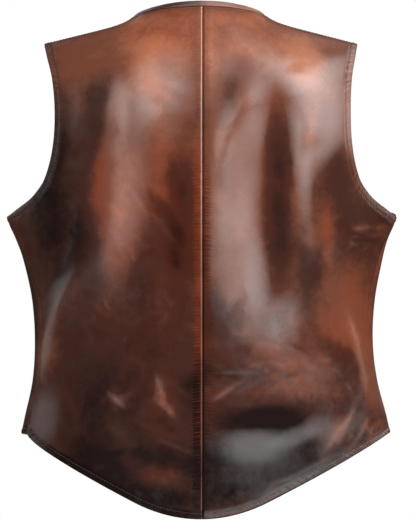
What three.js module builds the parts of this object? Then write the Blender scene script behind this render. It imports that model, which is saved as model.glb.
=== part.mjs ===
// A leather vest in the hollow shape it has when it is worn. Two backs are joined down the middle, two
// fronts lap and snap together, and a narrow band finishes the back neck. The armholes, neck and hem
// are open. Millimetres. +Z is up, +Y points out of the back, +X is the wearer's left. The origin lies
// between the two shoulder seams at the neck, which is where a wearer's shoulders carry the vest.
import * as THREE from 'three';

// Leather and the gaps between sewn pieces
const WALL = 2;
const SEAM_GAP = 0.3;
const LAP_GAP = 0.5;

// Levels, from the neck down
const BACK_NECK_Z = 8;
const UNDERARM_Z = -247;
const SIDE_HEM_Z = -515;
const BACK_HEM_Z = -612.5;
const FRONT_HEM_DROP = 20;

// Neck and shoulders
const NECK = { half: 81, shift: 4, bend: 2.3 };
const SHOULDER_HALF = 194;
const SHOULDER_TIP_Z = -34;
const SHOULDER_SLOPE = 0.25;
const SHOULDER_Y = -2;
const SHOULDER_TURN = 70;
const NECK_RISE = { reach: 84, soft: 9, slope: 0.8 };
const BAND = { tall: 7, wall: 3, proud: 0.5, halfAtSeam: 75.5, inset: 0.3, clear: 0.4 };

// Back hem: a round tail between two straight runs. Its lowest point is a little to the wearer's left.
const TAIL = { shift: 2.2, slope: 0.515, round: 78 };

// Centre back seam: its turnings lie under the leather and raise a strip on each side
const STRIP = { half: 11.5, edge: 2, high: 0.7 };

// Front lap and its snaps
const LAP_HALF = 12;
const BREAK_Z = -240;
const V_SAG = 7;
const SNAP = { radius: 6.5, high: 2.6, count: 5, topZ: -256, pitch: 62 };
const LAP_FADE = { from: 20, to: 70 };

// Level rings round the trunk. half is the half width, lean is how far the two sides have moved to the
// wearer's left, back and front are the depths on the centre line, and crease is 0.5 where the side is
// round and more where it is folded to an edge.
const RINGS = [
  { z: 30, half: 226, lean: 3, back: 44, front: -30, crease: 0.55 },
  { z: 8, half: 226, lean: 3, back: 52, front: -42, crease: 0.55 },
  { z: -40, half: 228, lean: 3, back: 74, front: -66, crease: 0.56 },
  { z: -90, half: 230, lean: 1, back: 95, front: -90, crease: 0.58 },
  { z: -150, half: 234, lean: 0, back: 108, front: -108, crease: 0.62 },
  { z: -200, half: 238, lean: 0.8, back: 110, front: -117, crease: 0.68 },
  { z: -247, half: 240.5, lean: 1.2, back: 107, front: -120, crease: 0.72 },
  { z: -276, half: 229.5, lean: 1, back: 103, front: -119, crease: 0.64 },
  { z: -301, half: 222, lean: -0.2, back: 98, front: -117, crease: 0.58 },
  { z: -350, half: 212, lean: -1, back: 90, front: -112, crease: 0.53 },
  { z: -400, half: 209, lean: -1.4, back: 86, front: -108, crease: 0.52 },
  { z: -450, half: 213, lean: -2.6, back: 89, front: -108, crease: 0.54 },
  { z: -499, half: 224.5, lean: -3.6, back: 97, front: -111, crease: 0.6 },
  { z: -560, half: 236, lean: -3.6, back: 105, front: -114, crease: 0.64 },
  { z: -620, half: 242, lean: -3.6, back: 109, front: -116, crease: 0.66 },
];
const RING_FLATNESS = 2.25;

// Armhole edges: the half width of the back and the front at each level
const ARMHOLES = [
  { z: -247, back: 240, front: 240 },
  { z: -239, back: 228.5, front: 219 },
  { z: -227, back: 211.5, front: 201 },
  { z: -215, back: 200.5, front: 190 },
  { z: -203, back: 193, front: 182 },
  { z: -178, back: 185.5, front: 174.5 },
  { z: -150, back: 181.5, front: 170 },
  { z: -115, back: 180.5, front: 169.5 },
  { z: -80, back: 183.5, front: 175 },
  { z: -53, back: 189.5, front: 185 },
  { z: -34, back: 194, front: 194 },
];

// How far behind the widest line the side seam lies, on the wearer's left and right
const SIDE_SEAMS = [
  { z: -247, left: 0, right: 0.2 },
  { z: -258, left: 0.6, right: 0.9 },
  { z: -278, left: 2.5, right: 3 },
  { z: -314, left: 5.5, right: 6.5 },
  { z: -350, left: 6, right: 7.4 },
  { z: -392, left: 5, right: 6 },
  { z: -425, left: 4, right: 3.2 },
  { z: -450, left: 3.8, right: 1.8 },
  { z: -475, left: 4.5, right: 1.2 },
  { z: -499, left: 6.5, right: 1 },
  { z: -520, left: 8, right: 1 },
];

// Main folds. Each runs from one point to another on the panel; high is how far it stands out, or
// sinks if negative.
const BACK_FOLDS = [
  { name: 'left blade', x0: 46, z0: -95, x1: 72, z1: -150, width: 42, high: 7 },
  { name: 'left long fold', x0: 84, z0: -150, x1: 104, z1: -330, width: 24, high: 5 },
  { name: 'left hollow', x0: 125, z0: -110, x1: 132, z1: -270, width: 24, high: -5 },
  { name: 'left seam hollow', x0: 30, z0: -160, x1: 34, z1: -300, width: 20, high: -4 },
  { name: 'left waist side', x0: 158, z0: -330, x1: 190, z1: -430, width: 16, high: 4 },
  { name: 'left waist dent', x0: 110, z0: -420, x1: 150, z1: -440, width: 26, high: -4 },
  { name: 'left hip', x0: 40, z0: -440, x1: 55, z1: -480, width: 18, high: 4 },
  { name: 'right blade', x0: -105, z0: -90, x1: -135, z1: -150, width: 40, high: 7 },
  { name: 'right slanting fold', x0: -66, z0: -100, x1: -34, z1: -210, width: 18, high: 4 },
  { name: 'right hollow', x0: -84, z0: -110, x1: -88, z1: -320, width: 17, high: -6 },
  { name: 'right long fold', x0: -118, z0: -160, x1: -120, z1: -300, width: 16, high: 4 },
  { name: 'right side hollow', x0: -150, z0: -190, x1: -140, z1: -290, width: 24, high: -4 },
  { name: 'right waist', x0: -50, z0: -350, x1: -110, z1: -400, width: 24, high: 4 },
  { name: 'right hip dent', x0: -60, z0: -485, x1: -130, z1: -480, width: 18, high: -5 },
  { name: 'right hip', x0: -50, z0: -530, x1: -140, z1: -505, width: 26, high: 5 },
];
const FRONT_FOLDS = [
  { name: 'left chest', x0: 95, z0: -120, x1: 60, z1: -230, width: 34, high: 6 },
  { name: 'left long fold', x0: 112, z0: -240, x1: 118, z1: -400, width: 22, high: -5 },
  { name: 'left waist', x0: 60, z0: -380, x1: 130, z1: -430, width: 22, high: 4 },
  { name: 'right chest', x0: -100, z0: -125, x1: -66, z1: -225, width: 34, high: 6 },
  { name: 'right long fold', x0: -125, z0: -250, x1: -112, z1: -410, width: 24, high: -5 },
  { name: 'right waist', x0: -66, z0: -400, x1: -140, z1: -440, width: 20, high: 4 },
];

// Grid of each panel
const COLUMNS = { back: 22, neck: 9, front: 18, band: 27 };
const ROWS = { low: 16, high: 16, band: 2 };
const UNDERARM_SHARE = ROWS.low / (ROWS.low + ROWS.high);

const BACK = 1;
const FRONT = -1;
const LEFT = 1;
const RIGHT = -1;

const clamp01 = (v) => Math.min(1, Math.max(0, v));
const mix = (a, b, share) => a + (b - a) * share;

function smooth(from, to, v) {
  const share = clamp01((v - from) / (to - from));
  return share * share * (3 - 2 * share);
}

// A column of a table at a level, on a smooth curve through its rows.
function read(table, column, z) {
  const falling = table[0].z > table[1].z;
  const rows = falling ? [...table].reverse() : table;
  const last = rows.length - 1;
  const level = Math.min(rows[last].z, Math.max(rows[0].z, z));
  let k = 0;
  while (k < last - 1 && level > rows[k + 1].z) k += 1;
  const slopeAt = (n) => {
    const before = rows[Math.max(0, n - 1)];
    const after = rows[Math.min(last, n + 1)];
    return (after[column] - before[column]) / (after.z - before.z);
  };
  const span = rows[k + 1].z - rows[k].z;
  const t = (level - rows[k].z) / span;
  const t2 = t * t;
  const t3 = t2 * t;
  return (
    (2 * t3 - 3 * t2 + 1) * rows[k][column] +
    (t3 - 2 * t2 + t) * span * slopeAt(k) +
    (3 * t2 - 2 * t3) * rows[k + 1][column] +
    (t3 - t2) * span * slopeAt(k + 1)
  );
}

// The crest of the shoulder over a distance from the centre line. Inside the neck it climbs like the
// side of a neck.
function crestZ(side, x) {
  const far = Math.abs(x);
  const reach = NECK_RISE.reach + side * NECK.shift;
  const climb = Math.log(1 + Math.exp((reach - far) / NECK_RISE.soft));
  const straight = SHOULDER_TIP_Z + SHOULDER_SLOPE * (SHOULDER_HALF - far);
  return straight + NECK_RISE.slope * NECK_RISE.soft * climb;
}

// A point of the trunk. The turn goes from the centre back (0) past the side (a quarter turn) to the
// centre front.
function trunk(side, turn, z) {
  const half = read(RINGS, 'half', z);
  const across = Math.sin(turn);
  const x = half * across;
  const left = Math.max(0, 1 - Math.abs(across) ** RING_FLATNESS);
  const bow = left ** read(RINGS, 'crease', z);
  const depth = read(RINGS, turn < Math.PI / 2 ? 'back' : 'front', z) * bow;
  const below = clamp01((crestZ(side, x) - z) / SHOULDER_TURN);
  const over = Math.sqrt(1 - (1 - below) * (1 - below));
  const y = SHOULDER_Y + (depth - SHOULDER_Y) * over;
  return new THREE.Vector3(side * x + read(RINGS, 'lean', z) * across * across, y, z);
}

const CREST_NEAR = 0.4;
const STEP = { turn: 0.004, z: 0.2 };

function trunkNormal(side, turn, z) {
  const x = read(RINGS, 'half', z) * Math.sin(turn);
  if (crestZ(side, x) - z < CREST_NEAR) {
    const fall = (crestZ(side, x + 1) - crestZ(side, x - 1)) / 2;
    return new THREE.Vector3(-side * fall, 0, 1).normalize();
  }
  const round = trunk(side, turn + STEP.turn, z).sub(trunk(side, turn - STEP.turn, z));
  const up = trunk(side, turn, z + STEP.z).sub(trunk(side, turn, z - STEP.z));
  return up.cross(round).multiplyScalar(side).normalize();
}

// Height of a list of folds at a point: each is a soft ridge or trough round the line between its two
// ends.
function foldHeight(folds, x, z) {
  return folds.reduce((sum, fold) => {
    const alongX = fold.x1 - fold.x0;
    const alongZ = fold.z1 - fold.z0;
    const share = clamp01(
      ((x - fold.x0) * alongX + (z - fold.z0) * alongZ) / (alongX * alongX + alongZ * alongZ),
    );
    const away = Math.hypot(x - fold.x0 - share * alongX, z - fold.z0 - share * alongZ);
    return sum + fold.high * Math.exp(-((away / fold.width) ** 2));
  }, 0);
}

// Turn at which the ring at a level reaches a distance from the centre line, on the back or the front.
function turnAt(face, x, z) {
  const turn = Math.asin(Math.min(1, Math.max(-1, x / read(RINGS, 'half', z))));
  return face === BACK ? turn : Math.PI - turn;
}

function sideSeamTurn(side, z) {
  const half = read(RINGS, 'half', z);
  const behind = read(SIDE_SEAMS, side === LEFT ? 'left' : 'right', z);
  return Math.asin(1 - Math.max(0, behind) / half);
}

// Shares of the height from the underarm to the shoulder, closer together at both ends.
const eased = (share) => (1 - Math.cos(Math.PI * share)) / 2;

const quarterSine = (share) => Math.sin((Math.PI / 2) * share);

// A level between the hem and the shoulder or neck, with the underarm at a fixed share.
function levelAt(t, low, middle, high) {
  if (t <= UNDERARM_SHARE) return mix(low, middle, t / UNDERARM_SHARE);
  return mix(middle, high, eased((t - UNDERARM_SHARE) / (1 - UNDERARM_SHARE)));
}

// Each edge of a panel gives { turn, z } for a share of its length.
function outerEdge(side, face) {
  const armhole = face === BACK ? 'back' : 'front';
  return (t) => {
    const z = levelAt(t, SIDE_HEM_Z, UNDERARM_Z, SHOULDER_TIP_Z);
    if (t <= UNDERARM_SHARE) return { turn: sideSeamTurn(side, z), z };
    return { turn: turnAt(face, read(ARMHOLES, armhole, z), z), z };
  };
}

function backHemZ(x) {
  const far = Math.abs(x - TAIL.shift);
  const climb = far < TAIL.round ? (far * far) / (2 * TAIL.round) : far - TAIL.round / 2;
  return BACK_HEM_Z + TAIL.slope * climb;
}

// The hem follows the tail and turns up to the side seam at its end.
function backHemEdge(side) {
  const corner = outerEdge(side, BACK)(0);
  const tailZ = (turn) => backHemZ(side * read(RINGS, 'half', SIDE_HEM_Z) * Math.sin(turn));
  const lift = SIDE_HEM_Z - tailZ(corner.turn);
  return (s) => {
    const turn = mix(turnAt(BACK, STRIP.half + STRIP.edge, BACK_HEM_Z), corner.turn, s);
    return { turn, z: tailZ(turn) + lift * s ** 10 };
  };
}

// Half widths of the back neck at its edge and of the band's top edge.
const neckHalf = (side) => NECK.half + side * NECK.shift;
const bandHalf = (side) => BAND.halfAtSeam + side * NECK.shift;

function neckZ(side, x) {
  const half = neckHalf(side);
  return BACK_NECK_Z - (BACK_NECK_Z - crestZ(side, half)) * (x / half) ** NECK.bend;
}

// The back's top edge: the neck over its first columns, closer together near the shoulder, then the
// shoulder.
function backTopEdge(side) {
  const start = STRIP.half + STRIP.edge;
  const half = neckHalf(side);
  const neckShare = COLUMNS.neck / COLUMNS.back;
  return (s) => {
    if (s <= neckShare) {
      const x = mix(start, half, quarterSine(s / neckShare));
      const z = neckZ(side, x);
      return { turn: turnAt(BACK, x, z), z };
    }
    const x = mix(half, SHOULDER_HALF, (s - neckShare) / (1 - neckShare));
    const z = crestZ(side, x);
    return { turn: turnAt(BACK, x, z), z };
  };
}

function backInnerEdge(side) {
  const x = STRIP.half + STRIP.edge;
  return (t) => {
    const z = levelAt(t, backHemZ(side * x), UNDERARM_Z, neckZ(side, x));
    return { turn: turnAt(BACK, x, z), z };
  };
}

function frontInnerEdge(side) {
  const topX = bandHalf(side);
  const topZ = crestZ(side, topX);
  return (t) => {
    const z = levelAt(t, SIDE_HEM_Z - FRONT_HEM_DROP, BREAK_Z, topZ);
    if (z <= BREAK_Z) return { turn: turnAt(FRONT, -LAP_HALF, z), z };
    const share = (z - BREAK_Z) / (topZ - BREAK_Z);
    const x = mix(-LAP_HALF, topX, share) - V_SAG * Math.sin(Math.PI * share);
    return { turn: turnAt(FRONT, x, z), z };
  };
}

function frontTopEdge(side) {
  return (s) => {
    const x = mix(bandHalf(side), SHOULDER_HALF, s);
    const z = crestZ(side, x);
    return { turn: turnAt(FRONT, x, z), z };
  };
}

function frontHemEdge(side) {
  const corner = outerEdge(side, FRONT)(0);
  const start = frontInnerEdge(side)(0);
  return (s) => ({
    turn: mix(start.turn, corner.turn, s),
    z: SIDE_HEM_Z - FRONT_HEM_DROP * (1 - smooth(0, 1, s)),
  });
}

// Fills the space between four edges. s runs from the inner edge to the outer, t from the bottom to
// the top.
function between(edges, s, t) {
  const value = (key) =>
    (1 - t) * edges.bottom(s)[key] + t * edges.top(s)[key] +
    (1 - s) * edges.inner(t)[key] + s * edges.outer(t)[key] -
    (1 - s) * ((1 - t) * edges.bottom(0)[key] + t * edges.top(0)[key]) -
    s * ((1 - t) * edges.bottom(1)[key] + t * edges.top(1)[key]);
  return { turn: value('turn'), z: value('z') };
}

// Moves the rim of a grid of points inwards, by half a seam gap unless told otherwise, so that
// neighbours stay apart.
function insetRim(grid, inset = SEAM_GAP / 2) {
  const pull = (point, towards) => {
    const way = towards.outer.clone().sub(point.outer).normalize().multiplyScalar(inset);
    point.outer.add(way);
    point.inner.add(way);
  };
  grid.forEach((row) => {
    pull(row[0], row[1]);
    pull(row[row.length - 1], row[row.length - 2]);
  });
  grid[0].forEach((point, i) => pull(point, grid[1][i]));
  grid[grid.length - 1].forEach((point, i) => pull(point, grid[grid.length - 2][i]));
}

// A closed wall from a grid of points, each with its outer and inner side.
function wallGeometry(grid) {
  const rows = grid.length;
  const columns = grid[0].length;
  const points = grid.flat();
  const position = [
    ...points.flatMap(({ outer }) => outer.toArray()),
    ...points.flatMap(({ inner }) => inner.toArray()),
  ];
  const outerAt = (j, i) => j * columns + i;
  const innerAt = (j, i) => points.length + j * columns + i;
  const index = [];
  const quad = (a, b, c, d) => index.push(a, b, c, a, c, d);
  for (let j = 0; j + 1 < rows; j += 1) {
    for (let i = 0; i + 1 < columns; i += 1) {
      quad(outerAt(j, i), outerAt(j, i + 1), outerAt(j + 1, i + 1), outerAt(j + 1, i));
      quad(innerAt(j, i), innerAt(j + 1, i), innerAt(j + 1, i + 1), innerAt(j, i + 1));
    }
    quad(outerAt(j, 0), outerAt(j + 1, 0), innerAt(j + 1, 0), innerAt(j, 0));
    const last = columns - 1;
    quad(outerAt(j + 1, last), outerAt(j, last), innerAt(j, last), innerAt(j + 1, last));
  }
  for (let i = 0; i + 1 < columns; i += 1) {
    quad(outerAt(0, i + 1), outerAt(0, i), innerAt(0, i), innerAt(0, i + 1));
    quad(outerAt(rows - 1, i), outerAt(rows - 1, i + 1), innerAt(rows - 1, i + 1), innerAt(rows - 1, i));
  }
  if (signedVolume(position, index) < 0) {
    for (let k = 0; k < index.length; k += 3) [index[k + 1], index[k + 2]] = [index[k + 2], index[k + 1]];
  }
  const geometry = new THREE.BufferGeometry();
  geometry.setAttribute('position', new THREE.Float32BufferAttribute(position, 3));
  geometry.setIndex(index);
  geometry.computeVertexNormals();
  return geometry;
}

function signedVolume(position, index) {
  const corner = (k) => new THREE.Vector3().fromArray(position, 3 * index[k]);
  let volume = 0;
  for (let k = 0; k < index.length; k += 3) {
    volume += corner(k).dot(corner(k + 1).cross(corner(k + 2))) / 6;
  }
  return volume;
}

// One point of a panel: the trunk's surface with its folds, and its inner side one wall further in.
function panelPoint(side, face, turn, z, { raise = 0, sink = () => 0, wall = WALL } = {}) {
  const base = trunk(side, turn, z);
  const normal = trunkNormal(side, turn, z);
  const folds = face === BACK ? BACK_FOLDS : FRONT_FOLDS;
  const lie = foldHeight(folds, base.x, z) - sink(base.x);
  const at = (height) => base.clone().addScaledVector(normal, height);
  return { outer: at(lie + raise), inner: at(lie - wall) };
}

function backPanel(side) {
  const edges = {
    bottom: backHemEdge(side),
    top: backTopEdge(side),
    inner: backInnerEdge(side),
    outer: outerEdge(side, BACK),
  };
  const rows = ROWS.low + ROWS.high;
  const stripX = [0, STRIP.half];
  const grid = [];
  for (let j = 0; j <= rows; j += 1) {
    const t = j / rows;
    const edgeZ = between(edges, 0, t).z;
    const row = stripX.map((x) =>
      panelPoint(side, BACK, turnAt(BACK, x, edgeZ), edgeZ, { raise: STRIP.high }),
    );
    for (let i = 0; i <= COLUMNS.back; i += 1) {
      const { turn, z } = between(edges, i / COLUMNS.back, t);
      row.push(panelPoint(side, BACK, turn, z));
    }
    grid.push(row);
  }
  insetRim(grid);
  return wallGeometry(grid);
}

function frontPanel(side) {
  const edges = {
    bottom: frontHemEdge(side),
    top: frontTopEdge(side),
    inner: frontInnerEdge(side),
    outer: outerEdge(side, FRONT),
  };
  const under = (x) => (WALL + LAP_GAP) * smooth(-LAP_FADE.to, -LAP_FADE.from, x);
  const sink = side === RIGHT ? under : () => 0;
  const rows = ROWS.low + ROWS.high;
  const grid = [];
  for (let j = 0; j <= rows; j += 1) {
    const row = [];
    for (let i = 0; i <= COLUMNS.front; i += 1) {
      const { turn, z } = between(edges, i / COLUMNS.front, j / rows);
      row.push(panelPoint(side, FRONT, turn, z, { sink }));
    }
    grid.push(row);
  }
  insetRim(grid);
  return wallGeometry(grid);
}

// The band stands on the back neck edge and follows the same surface up to its own top edge.
function neckBand() {
  const grid = [];
  for (let j = 0; j <= ROWS.band; j += 1) {
    const up = j / ROWS.band;
    const row = [];
    for (let i = -COLUMNS.band; i <= COLUMNS.band; i += 1) {
      const side = i < 0 ? RIGHT : LEFT;
      const half = mix(neckHalf(side) - BAND.clear, bandHalf(side), up);
      const share = quarterSine(Math.abs(i) / COLUMNS.band);
      const far = half * share;
      const middleZ = BACK_NECK_Z + BAND.clear + up * BAND.tall;
      const level = mix(middleZ, crestZ(side, half), share ** NECK.bend);
      const z = Math.min(level, crestZ(side, far));
      row.push(
        panelPoint(side, BACK, turnAt(BACK, far, z), z, {
          raise: BAND.proud,
          wall: BAND.wall - BAND.proud,
        }),
      );
    }
    grid.push(row);
  }
  insetRim(grid, BAND.inset);
  return wallGeometry(grid);
}

// A domed snap cap, its flat side on the lap.
function snapCap(z) {
  const profile = [
    [0, 0],
    [SNAP.radius * 0.94, 0],
    [SNAP.radius, SNAP.high * 0.22],
    [SNAP.radius * 0.86, SNAP.high * 0.62],
    [SNAP.radius * 0.5, SNAP.high * 0.93],
    [0, SNAP.high],
  ].map(([radius, high]) => new THREE.Vector2(radius, high));
  const geometry = new THREE.LatheGeometry(profile, 20);
  const turn = Math.PI;
  const seat = panelPoint(LEFT, FRONT, turn, z);
  const normal = trunkNormal(LEFT, turn, z);
  const place = new THREE.Quaternion().setFromUnitVectors(new THREE.Vector3(0, 1, 0), normal);
  geometry.applyQuaternion(place);
  const stand = seat.outer.addScaledVector(normal, SEAM_GAP);
  geometry.translate(stand.x, stand.y, stand.z);
  return geometry;
}

const leather = new THREE.MeshStandardMaterial({ color: 0x6b3a25, roughness: 0.35, metalness: 0 });
const bandLeather = new THREE.MeshStandardMaterial({ color: 0x5a4238, roughness: 0.4, metalness: 0 });
const brass = new THREE.MeshStandardMaterial({ color: 0x6a5a45, roughness: 0.35, metalness: 1 });

const vest = new THREE.Group();

function addPiece(name, geometry, material) {
  const mesh = new THREE.Mesh(geometry, material);
  mesh.name = name;
  vest.add(mesh);
}

addPiece('back_left', backPanel(LEFT), leather);
addPiece('back_right', backPanel(RIGHT), leather);
addPiece('front_left', frontPanel(LEFT), leather);
addPiece('front_right', frontPanel(RIGHT), leather);
addPiece('neck_band', neckBand(), bandLeather);
for (let k = 0; k < SNAP.count; k += 1) {
  addPiece('snap_cap_' + (k + 1), snapCap(SNAP.topZ - k * SNAP.pitch), brass);
}

export default vest;
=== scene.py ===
"""A burnished leather vest in the hollow shape it has when worn, seen from behind.

The sizes below are in millimetres in the row frame: +Z up, +Y out of the back, +X the wearer's left.
Every panel is a thin shell worked out from the same sections as its solid, with finer folds, turned
edges, puckers and stitching added, and is scaled to metres as it becomes a mesh.
"""
import math
from functools import partial

import bpy
import numpy as np
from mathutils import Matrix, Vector


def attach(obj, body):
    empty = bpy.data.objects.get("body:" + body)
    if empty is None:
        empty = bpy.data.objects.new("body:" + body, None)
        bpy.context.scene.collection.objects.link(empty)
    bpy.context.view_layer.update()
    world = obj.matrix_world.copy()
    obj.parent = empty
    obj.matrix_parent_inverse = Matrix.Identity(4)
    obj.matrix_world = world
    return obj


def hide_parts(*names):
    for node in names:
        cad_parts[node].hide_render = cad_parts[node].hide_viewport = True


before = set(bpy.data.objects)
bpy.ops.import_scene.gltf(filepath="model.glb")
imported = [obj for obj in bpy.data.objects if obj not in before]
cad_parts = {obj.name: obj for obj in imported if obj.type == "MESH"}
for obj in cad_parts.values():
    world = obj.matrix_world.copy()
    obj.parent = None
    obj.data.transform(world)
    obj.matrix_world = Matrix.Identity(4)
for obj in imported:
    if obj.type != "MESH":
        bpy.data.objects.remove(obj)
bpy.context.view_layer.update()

MM = 0.001
LEFT, RIGHT = 1, -1
BACK, FRONT = 1, -1
SIDE_NAME, FACE_NAME = {LEFT: "left", RIGHT: "right"}, {BACK: "back", FRONT: "front"}

# Leather
WALL = 2.0
SEAM_GAP = 0.3
LAP_GAP = 0.5

# Levels, from the neck down
BACK_NECK_Z = 8
UNDERARM_Z = -247
SIDE_HEM_Z = -515
BACK_HEM_Z = -612.5
FRONT_HEM_DROP = 20

# Neck and shoulders
NECK_HALF, NECK_SHIFT, NECK_BEND = 81, 4, 2.3
SHOULDER_HALF = 194
SHOULDER_TIP_Z = -34
SHOULDER_SLOPE = 0.25
SHOULDER_Y = -2
SHOULDER_TURN = 70
NECK_REACH, NECK_SOFT, NECK_CLIMB = 84, 9, 0.8
BAND_TALL, BAND_WALL, BAND_PROUD, BAND_HALF, BAND_CLEAR = 7, 3, 0.5, 75.5, 0.4

# Back hem: a round tail between two straight runs
TAIL_SHIFT, TAIL_SLOPE, TAIL_ROUND = 2.2, 0.515, 78
CORNER_POWER = 10

# Front lap and its snaps
LAP_HALF = 12
BREAK_Z = -240
V_SAG = 7
SNAP_RADIUS, SNAP_HIGH, SNAP_COUNT, SNAP_TOP_Z, SNAP_PITCH = 6.5, 2.6, 5, -256, 62
LAP_FADE_FROM, LAP_FADE_TO = 20, 70

# Seam strip down the back, turned edges and their stitching
STRIP_HALF, STRIP_SOFT, STRIP_HIGH = 10.5, 4.0, 0.6
ARM_STITCH, HEM_STITCH, FRONT_STITCH, SHOULDER_STITCH = 8.0, 7.0, 6.0, 3.6
TURNING = 10.5
TURNED_EXTRA, TURNING_SOFT, TURNING_RISE, UNDER_ROUND = 0.7, 0.8, 2.5, 0.9
STITCH_PITCH, STITCH_LENGTH, STITCH_RADIUS = 3.9, 2.9, 0.34
RIB_PITCH, RIB_CONTRAST = 2.9, 2.0

RING_FLATNESS = 2.25


def table(text):
    """A table written as a line of column names and then a line for each row, as named numpy arrays."""
    names, *rows = [line.split() for line in text.strip().splitlines()]
    return {name: np.array(column, float) for name, column in zip(names, zip(*rows))}


# Level rings round the trunk: half width, lean of the sides to the wearer's left, depths, side crease
RINGS = table("""
z half lean back front crease
30 226 3 44 -30 0.55
8 226 3 52 -42 0.55
-40 228 3 74 -66 0.56
-90 230 1 95 -90 0.58
-150 234 0 108 -108 0.62
-200 238 0.8 110 -117 0.68
-247 240.5 1.2 107 -120 0.72
-276 229.5 1 103 -119 0.64
-301 222 -0.2 98 -117 0.58
-350 212 -1 90 -112 0.53
-400 209 -1.4 86 -108 0.52
-450 213 -2.6 89 -108 0.54
-499 224.5 -3.6 97 -111 0.6
-560 236 -3.6 105 -114 0.64
-620 242 -3.6 109 -116 0.66
""")

# Half widths of the armhole edges of the back and the front
ARMHOLES = table("""
z back front
-247 240 240
-239 228.5 219
-227 211.5 201
-215 200.5 190
-203 193 182
-178 185.5 174.5
-150 181.5 170
-115 180.5 169.5
-80 183.5 175
-53 189.5 185
-34 194 194
""")

# How far behind the widest line each side seam lies
SIDE_SEAMS = table("""
z left right
-247 0 0.2
-258 0.6 0.9
-278 2.5 3
-314 5.5 6.5
-350 6 7.4
-392 5 6
-425 4 3.2
-450 3.8 1.8
-475 4.5 1.2
-499 6.5 1
-520 8 1
""")

# Main folds of the backs: soft ridges, or troughs if negative. bow bends one sideways, and steep
# makes one flank sharper than the other
BACK_FOLDS = table("""
x0 z0 x1 z1 bow width high steep
48 -108 74 -165 0 40 5.5 0
86 -130 112 -330 -4 28 2.2 0.3
140 -120 152 -280 0 26 -3 0
34 -150 34 -300 0 20 -1.6 0
146 -310 196 -430 6 22 2.4 0
110 -420 150 -440 0 26 -1.5 0
40 -440 55 -480 0 18 1.5 0.2
-105 -85 -136 -150 0 40 6.5 0
-64 -92 -26 -190 4 18 2.4 0.2
-103 -115 -108 -320 2 28 -3.8 0
-123 -170 -126 -300 0 12 0.6 0
-150 -190 -142 -290 0 24 -3 0
-50 -350 -110 -400 4 30 2 0.2
""")

# Main folds of the fronts
FRONT_FOLDS = table("""
x0 z0 x1 z1 bow width high steep
95 -120 60 -230 4 34 6 0
112 -240 118 -400 3 22 -4 0
60 -380 130 -430 4 22 3.2 0.2
-100 -125 -66 -225 -4 34 6 0
-125 -250 -112 -410 3 24 -4 0
-66 -400 -140 -440 -4 20 3.2 0.2
""")


def clamp01(value):
    return np.clip(value, 0.0, 1.0)


def smooth(low, high, value):
    share = clamp01((value - low) / (high - low))
    return share * share * (3 - 2 * share)


def mix(a, b, share):
    return a + (b - a) * share


def bell(value, width):
    return np.exp(-((value / width) ** 2))


def rand(seed):
    return np.random.default_rng(seed)


def read(tab, column, z):
    """A column of a table at levels z, on a smooth curve through its rows."""
    order = np.argsort(tab["z"])
    levels, values = tab["z"][order], tab[column][order]
    last = len(levels) - 1
    after, before = np.minimum(np.arange(last + 1) + 1, last), np.maximum(np.arange(last + 1) - 1, 0)
    slopes = (values[after] - values[before]) / (levels[after] - levels[before])
    level = np.clip(z, levels[0], levels[-1])
    k = np.clip(np.searchsorted(levels, level, side="right") - 1, 0, last - 1)
    span, rise = levels[k + 1] - levels[k], values[k + 1] - values[k]
    t = (level - levels[k]) / span
    bend = (1 - t) * (span * slopes[k] - rise) - t * (span * slopes[k + 1] - rise)
    return mix(values[k], values[k + 1], t) + t * (1 - t) * bend


def crest_z(side, x):
    """The crest of the shoulder, which climbs like the side of a neck inside the neck opening."""
    far = np.abs(x)
    climb = np.log1p(np.exp((NECK_REACH + side * NECK_SHIFT - far) / NECK_SOFT))
    straight = SHOULDER_TIP_Z + SHOULDER_SLOPE * (SHOULDER_HALF - far)
    return straight + NECK_CLIMB * NECK_SOFT * climb


def trunk(side, turn, z):
    """Points of the trunk. turn goes from the centre back, 0, to the centre front, pi."""
    half = read(RINGS, "half", z)
    across = np.sin(turn)
    x = half * across
    bow = np.maximum(0, 1 - np.abs(across) ** RING_FLATNESS) ** read(RINGS, "crease", z)
    depth = bow * np.where(turn < math.pi / 2, read(RINGS, "back", z), read(RINGS, "front", z))
    below = clamp01((crest_z(side, x) - z) / SHOULDER_TURN)
    over = np.sqrt(1 - (1 - below) ** 2)
    y = SHOULDER_Y + (depth - SHOULDER_Y) * over
    return np.stack([side * x + read(RINGS, "lean", z) * across**2, y, z], axis=-1)


CREST_NEAR, TURN_STEP, Z_STEP = 0.4, 0.004, 0.2


def unit(vectors):
    return vectors / np.maximum(np.linalg.norm(vectors, axis=-1, keepdims=True), 1e-9)


def trunk_normal(side, turn, z):
    x = read(RINGS, "half", z) * np.sin(turn)
    fall = (crest_z(side, x + 1) - crest_z(side, x - 1)) / 2
    crest = np.stack([-side * fall, np.zeros_like(fall), np.ones_like(fall)], axis=-1)
    around = trunk(side, turn + TURN_STEP, z) - trunk(side, turn - TURN_STEP, z)
    up = trunk(side, turn, z + Z_STEP) - trunk(side, turn, z - Z_STEP)
    regular = unit(np.cross(up, around)) * side
    near = (crest_z(side, x) - z < CREST_NEAR)[..., None]
    return np.where(near, unit(crest), regular)


def turn_at(face, x, z):
    turn = np.arcsin(np.clip(x / read(RINGS, "half", z), -1, 1))
    return turn if face == BACK else math.pi - turn


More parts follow.
